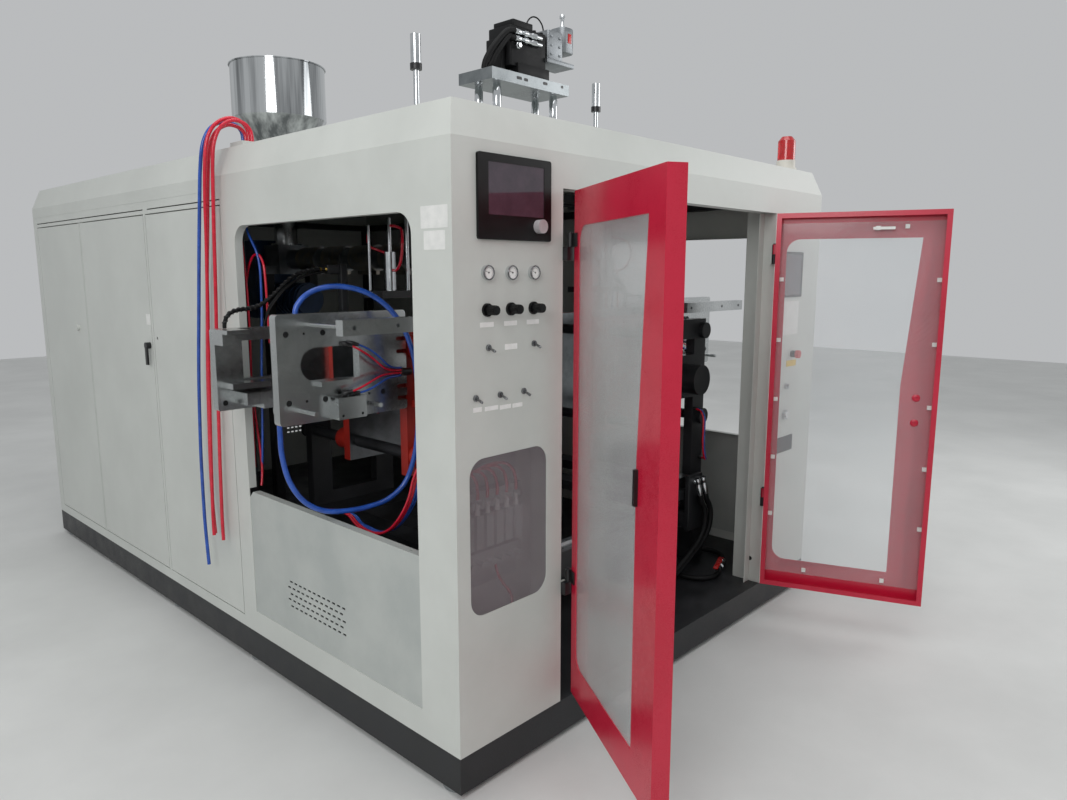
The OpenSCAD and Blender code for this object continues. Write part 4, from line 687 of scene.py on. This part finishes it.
# chrome sleeves on the columns right under the plate, and thin black plates on the plate's front edge:
# painted shade that stands in for the shaded hollows of its pockets
sleeves = [turned([(11.5, 0), (19, 0), (20, 3), (20, 88), (17, 92), (17, 112), (11.5, 112)],
                  (enclosure["width"] / 2 + u, d, 2438), (0, 0, 1), 24)
           for u in (-190, 190) for d in (900, 1020)]
# black plates painted where the pockets' hollows lie in shade
pocketShade = [plate((u, 860, z), wide, 13, 0.8, 5, front, 0.2)
           for u, z, wide in ((1166, 2578, 34), (1210, 2577, 26), (1341, 2582, 30), (1461, 2586, 16))]
addPiece("column_sleeves", sleeves, chromePlate, "root", sharp=40)
addPiece("platform_pocket_shade", pocketShade, absBlack, "root", sharp=12)
print("servo valve is made")


# black cables over the rear clamp: a spiral-wrapped one from the trim plate to a post on the
# platen, and two thin ones beside it. The wrap is a strip coiled at a radius and a pitch
clampCables = {"wrapped": 15, "thin": 8, "strip": 5.2, "coil": 8.2, "pitch": 22, "post": [
    ((392, 1176, 1479), (424, 1206, 1742)), ((378, 1166, 1479), (438, 1216, 1487)),
    ((330, 1180, 1700), (393, 1202, 1738))]}
wrapRoute = [[-130, 1191, 1492], [-130, 1191, 1506], [-124, 1188, 1530], [-104, 1190, 1550],
             [-70, 1198, 1560], [-20, 1208, 1564], [20, 1210, 1572], [55, 1204, 1592], [85, 1198, 1616],
             [118, 1194, 1646], [150, 1192, 1674], [190, 1191, 1698], [240, 1191, 1712],
             [290, 1191, 1718], [332, 1191, 1719]]


def spiral(path, radius, pitch, inset=12, count=460):
    # point of the path + radius times (cos, sin) across it, one turn for each pitch of length
    reach = np.concatenate([[0], np.cumsum(np.linalg.norm(np.diff(path, axis=0), axis=1))])
    length = np.linspace(inset, reach[-1] - inset, count)
    middle = np.stack([np.interp(length, reach, path[:, k]) for k in range(3)], axis=-1)
    ahead = np.gradient(middle, axis=0)
    ahead /= np.linalg.norm(ahead, axis=1)[:, None]
    sideways = np.cross(ahead, [0.0, 1.0, 0.0])
    sideways /= np.linalg.norm(sideways, axis=1)[:, None]
    angle = (length * 2 * math.pi / pitch)[:, None]
    return middle + radius * (np.cos(angle) * sideways + np.sin(angle) * np.cross(ahead, sideways))


for side, place in stationSides.items():
    body = side + "_rear_clamp"
    post = [blockGrid(*place(corners), size, 1.5) for corners, size in zip(clampCables["post"], (3, 4, 4))]
    addPiece(side + "_cable_post", post, blackEnamel, body, sharp=30)
    brass = turned([(0, 0), (8.5, 0), (8.5, 8), (7, 10), (7, 26), (9, 28), (9, 36), (0, 36)],
                   place((296, 1191, 1719)), aimed(place, (1, 0, 0)), 18)
    gland = addPiece(side + "_cable_gland", [brass], brassPlate, body, sharp=40)
    addCord(side + "_wrapped_cable", place(wrapRoute), clampCables["wrapped"], rubberBlack, body,
            "handle_black", farEnd="fitting", withPieces=[gland])
    strip = spiral(smoothPath(place(wrapRoute)), clampCables["coil"], clampCables["pitch"])
    addPiece(side + "_cable_wrap", [tubeGrid(strip, clampCables["strip"] / 2, 8)], absBlack, body)
    for k, offset in enumerate((-16, 14)):
        route = [[40 + 8 * k, 1206 + offset / 4, 1491], [44 + 8 * k, 1204 + offset / 4, 1510],
                 [60, 1192 + offset / 2, 1560], [95, 1178 + offset / 2, 1612],
                 [140, 1182 + offset / 2, 1650], [200, 1186 + offset / 3, 1682],
                 [260, 1188 + offset / 3, 1700], [332, 1190 + offset / 3, 1708]]
        addTube(side + "_clamp_cable_" + str(k + 1), place(route), clampCables["thin"], rubberBlack, body,
                "handle_black")
print("clamp cables are laid")


# tubes that come down inside the window's rear edge
edgeTubes = [
    ("edge_tube_blue", tubeBlue, 10, "root",
     [[60, 1352, 2046], [60, 1352, 2000], [62, 1350, 1893], [66, 1318, 1834], [70, 1290, 1790],
      [74, 1276, 1730], [74, 1274, 1640], [74, 1280, 1540], [72, 1290, 1420], [70, 1300, 1300],
      [70, 1310, 1180], [70, 1322, 1040], [70, 1336, 920], [70, 1352, 830]]),
    ("edge_tube_red", tubeRed, 10, "root",
     [[40, 1366, 2046], [40, 1366, 2000], [42, 1364, 1900], [46, 1358, 1800], [50, 1352, 1680],
      [52, 1350, 1540], [52, 1352, 1400], [50, 1356, 1260], [50, 1360, 1120], [50, 1364, 980],
      [50, 1366, 880]]),
    ("edge_tube_red_low", tubeRed, 10, "root",
     [[66, 1376, 1180], [68, 1374, 1120], [70, 1366, 1040], [70, 1350, 950], [66, 1336, 880],
      [58, 1326, 836], [50, 1320, 806]])]
# loops at the blow pin
pinTubes = [
    ("pin_tube_red_1", tubeRed, 10, "blow_pin",
     [[500, 996, 1782], [496, 1010, 1790], [484, 1036, 1800], [462, 1054, 1812], [446, 1050, 1836],
      [441, 1040, 1862]]),
    ("pin_tube_red_2", tubeRed, 12, "blow_pin",
     [[500, 952, 1716], [496, 930, 1714], [486, 900, 1724], [478, 872, 1748], [474, 856, 1786],
      [474, 852, 1826], [482, 862, 1862], [496, 890, 1884], [500, 928, 1894], [500, 962, 1898]])]
# a bundle that crosses the left sill: finish, diameter and how far each tube is shifted in it
sillBundle = (("sill_tube_red_1", tubeRed, 10, 0), ("sill_tube_red_2", tubeRed, 10, 13),
              ("sill_tube_blue_1", tubeBlue, 10, 26), ("sill_tube_blue_2", tubeBlue, 8, 37))
sillRise = [[138, 716, 728], [134, 650, 728], [132, 590, 742], [132, 532, 770], [134, 484, 812],
            [138, 446, 862], [142, 418, 916], [146, 400, 975], [150, 376, 1024], [152, 340, 1066],
            [152, 292, 1088], [152, 236, 1092], [152, 190, 1090], [152, 158, 1090]]
sillTubes = [
    (name, finish, diameter, "root",
     [[46, 862 - shift, 790], [62, 862 - shift, 790], [92 + shift / 2, 858 - shift / 2, 786],
      [126 + shift, 846, 776 - shift / 3], [146 + shift, 816, 762 - shift / 3],
      [144 + shift, 772, 742 - shift / 3]] + [[u + shift, d, z] for u, d, z in sillRise])
    for name, finish, diameter, shift in sillBundle]
layTubes(edgeTubes, addCord)
layTubes(pinTubes, addTube)
layTubes(sillTubes, addCord, sides=("left",))
# bulkhead strips that hold the bundle at the sill guard and at the pillar's back
bundleHolders = [blockGrid((34, 812, 776), (46, 876, 802), 2, 1),
                 blockGrid((138, 150, 1076), (206, 158, 1104), 3, 1)]
addPiece("bundle_holders", bundleHolders, blackEnamel, "root", sharp=30)
print("window tubes are laid")


# behind the pillar's pane: red tubes that arch from the valves to the wall, white push-in fittings
paneFacts = {"valves": 6, "pitch": 45, "first": 120, "tube": 11, "lowTube": 10}
fittings = []
for k in range(paneFacts["valves"]):
    u = paneFacts["first"] + k * paneFacts["pitch"]
    fittings.append(turned([(0, 0), (9, 0), (9, 12), (7.5, 14), (7.5, 34), (8.5, 36), (8.5, 44), (0, 44)],
                           (u, 84, 914), (0, 0, 1), 20))
    addTube("pillar_tube_" + str(k + 1),
            [[u, 84, 950], [u, 84, 972], [u - 2, 82, 1000], [u - 12 - 2 * k, 78, 1034 + 2 * k],
             [u - 34 - 6 * k, 72, 1058 + 3 * k], [u - 62 - 14 * k, 66, 1064 + 4 * k],
             [max(u - 92 - 24 * k, 34), 60, 1056 + 4 * k], [16, 58, 1040 + 4 * k]],
            paneFacts["tube"], tubeRed, "root")
addPiece("pillar_fittings", fittings, nylonWhite, "root", sharp=40)
addTube("pillar_tube_low", [[260, 100, 716], [260, 96, 700], [266, 90, 672], [284, 84, 640], [306, 80, 610],
                            [318, 80, 580], [322, 82, 540]], paneFacts["lowTube"], tubeRed, "root")
print("pillar tubes are laid")


# bare plates on the left face, and one above the lock handle that swings with its door:
# d, z, width and height
barePlates = {"bare_plates": ("root", [(80, 1868, 124, 66), (80, 1800, 98, 56)]),
              "lock_plate": ("access_door_1", [(2272, 1478, 52, 52)])}
for name, (body, places) in barePlates.items():
    plates = [plate((0, d, z), width, height, 0.6, 3, (-1, 0, 0), 0.2, upright=(0, 0, 1))
              for d, z, width, height in places]
    addPiece(name, plates, plateWhite, body, sharp=10)
# rubber plugs in the returns of the two front pillars
plugs = [turned([(0, 0), (11, 0), (11, 1.2), (8, 2.4), (0, 2.4)], (u, 57, 268), direction, 24)
         for u, direction in ((2017, (-1, 0, 0)), (488, (1, 0, 0)))]
addPiece("pillar_plugs", plugs, absBlack, "root", sharp=40)


# hydraulics in front of the right station: a port plate on the bed, two pressure hoses down to the
# tray, a ball valve with a red lever and a ribbed chrome post beside it
portFacts = {"plate": ((1886, 346, 372), (2012, 372, 668)), "hoses": (1922, 1976), "hoseZ": 640,
             "pressure": 28, "tray": 26}
ports = [blockGrid(*portFacts["plate"], 4, 2), blockGrid((1900, 371, 384), (1926, 431, 470), 3, 1),
         blockGrid((1972, 371, 384), (1998, 431, 470), 3, 1)]
addPiece("port_plate", ports, blackEnamel, "root", sharp=30)
# the return hose's coupling, the ribbed post (four like ribs and a longer one) and the valve's stem
ribs = [(radius, 150 + 22 * k + rise)
        for k in range(4) for radius, rise in ((16, 0), (16, 8), (12, 10), (12, 20))]
trayCouplings = [
    turned([(0, 0), (19, 0), (19, 22), (15, 26), (15, 44), (22, 48), (22, 92), (15, 96), (15, 112), (19, 116),
            (19, 140), (0, 140)], (2110, 262, 172), (-0.94, -0.34, 0), 24),
    turned([(0, 150)] + ribs + [(16, 238), (16, 246), (12, 248), (12, 262), (16, 264), (16, 276), (9, 282),
                                (9, 298), (0, 298)], (2078, 152, 0), (0, 0, 1), 28),
    turned([(0, 0), (8, 0), (8, 20), (0, 20)], (2050, 242, 190), (0, 0, 1), 16)]
addPiece("tray_couplings", trayCouplings, chromePlate, "root", sharp=40)
slant = np.array([0.33, 0, -0.944])
for k, u in enumerate(portFacts["hoses"]):
    couplings = [turned([(0, 0), (17, 0), (17, 16), (13, 20), (13, 30), (0, 30)],
                        (u, 346, portFacts["hoseZ"]), front, 6),
                 turned([(0, -18), (12, -18), (15, -14), (15, 4), (12, 8), (12, 20), (15, 24), (15, 78),
                         (13, 84), (0, 84)], (u, 318, portFacts["hoseZ"]), (0.35, 0, -1), 24)]
    swaged = addPiece("pressure_coupling_" + str(k + 1), couplings, chromePlate, "root",
                      sharp=40)
    end = np.array([u, 318, portFacts["hoseZ"]]) + 80 * slant
    route = [[u - 310, 334, 165], [u - 262, 330, 172], [u - 214, 326, 190], [u - 160, 322, 216],
             [u - 100, 318, 248], [u - 34, 314, 284], [u + 26, 312, 326], [u + 66, 312, 380],
             [u + 78, 314, 440], [u + 66, 316, 490], end + 34 * slant, end]
    addCord("pressure_hose_" + str(k + 1), route, portFacts["pressure"], rubberBlack, "root", "servo_black",
            farEnd="fitting", sides=16, withPieces=[swaged])
lever = plate((1984, 216, 207), 26, 176, 5, 9, (0, 0, 1), 1, upright=(-0.94, -0.34, 0))
addPiece("ball_valve_lever", [lever], absRed, "root")
trayRoutes = [[[2104, 260, 172], [2130, 272, 172], [2176, 300, 168], [2216, 344, 166], [2230, 400, 166],
               [2214, 458, 166], [2170, 500, 166], [2108, 524, 166], [2040, 540, 166], [1960, 556, 166]],
              [[1976, 212, 170], [1948, 200, 168], [1900, 196, 166], [1850, 214, 166], [1816, 252, 166],
               [1800, 304, 166], [1800, 370, 166], [1806, 440, 166]]]
for k, route in enumerate(trayRoutes):
    addCord("tray_hose_" + str(k + 1), route, portFacts["tray"], rubberBlack, "root", "servo_black", sides=16)
print("hydraulics are laid")


# blue and red loops on the carriage's front end plate, and the fittings that they start and end in;
# the trim plate's own tubes start in black push-in elbows: where each one sits and points
loopFacts = {"tube": 10, "sleeve": 30}
loopElbows = ((500, 1004), (514, 1004), (438, 734), (448, 734))
trimElbows = (((98, 716, 1447), (14, -10, -6)), ((126, 716, 1447), (16, -12, -5)),
              ((82, 700, 1268), (14, -10, 4)), ((112, 700, 1262), (16, -10, 2)))
for side, place in stationSides.items():
    for k, finish in enumerate((tubeBlue, tubeRed)):
        route = [[500 + 14 * k, 402, 1004], [502 + 14 * k, 380, 1004], [508 + 14 * k, 352, 996],
                 [518 + 13 * k, 330, 966], [528 + 13 * k, 322, 916], [530 + 13 * k, 322, 860],
                 [522 + 13 * k, 324, 808], [502 + 12 * k, 330, 764], [476 + 10 * k, 340, 740],
                 [450 + 10 * k, 356, 734], [438 + 10 * k, 380, 734], [438 + 10 * k, 402, 734]]
        addCord(side + "_carriage_loop_" + str(k + 1), place(route), loopFacts["tube"], finish,
                side + "_carriage")
    elbows = [turned([(0, 0), (8, 0), (8, 10), (6.6, 12), (6.6, 20), (0, 20)], place((u, 401, z)), front, 16)
              for u, z in loopElbows]
    addPiece(side + "_loop_fittings", elbows, absBlack, side + "_carriage", sharp=40)
    joints = []
    for start, aim in trimElbows:
        start = np.array(start)
        joints.append(turned([(0, -8), (8, -8), (9, -4), (9, 12), (7.5, 14), (7.5, 26), (0, 26)],
                             place(start), aimed(place, aim), 18))
        joints.append(blockGrid(*place([start + (-10, 4, -9), start + (10, 16, 9)]), 3, 1.5))
    sleeve = place([[338, 705, 1323], [352, 706, 1322], [372, 708, 1320], [384, 712, 1320]])
    joints.append(tubeGrid(smoothPath(sleeve), loopFacts["sleeve"] / 2, 20))
    addPiece(side + "_trim_fittings", joints, absBlack, side + "_front_clamp", sharp=40)
print("carriage loops are laid")


# right door: two round bosses of the lock on its inner face, seen past the pane's edge.
# leaf point = hinge axis + x along the open leaf + y inwards, then mirrored to the right side
bossFacts = {"x": 647, "heights": (1146, 1032), "y": 13.0}
turn = math.radians(doorFacts["right"])
along = np.array([math.cos(turn), -math.sin(turn), 0])
inward = np.array([math.sin(turn), math.cos(turn), 0])
offset = bossFacts["x"] * along + bossFacts["y"] * inward
bosses = []
for height in bossFacts["heights"]:
    point = offset + (doorFacts["hingeU"], doorFacts["hingeD"], height)
    bosses.append(turned([(0, 0), (17, 0), (17, 5), (13, 8), (6, 8), (5, 5), (0, 5)], mirrored(point),
                         aimed(mirrored, inward), 28))
addPiece("right_door_bosses", bosses, powderCrimson, "right_door", sharp=40)
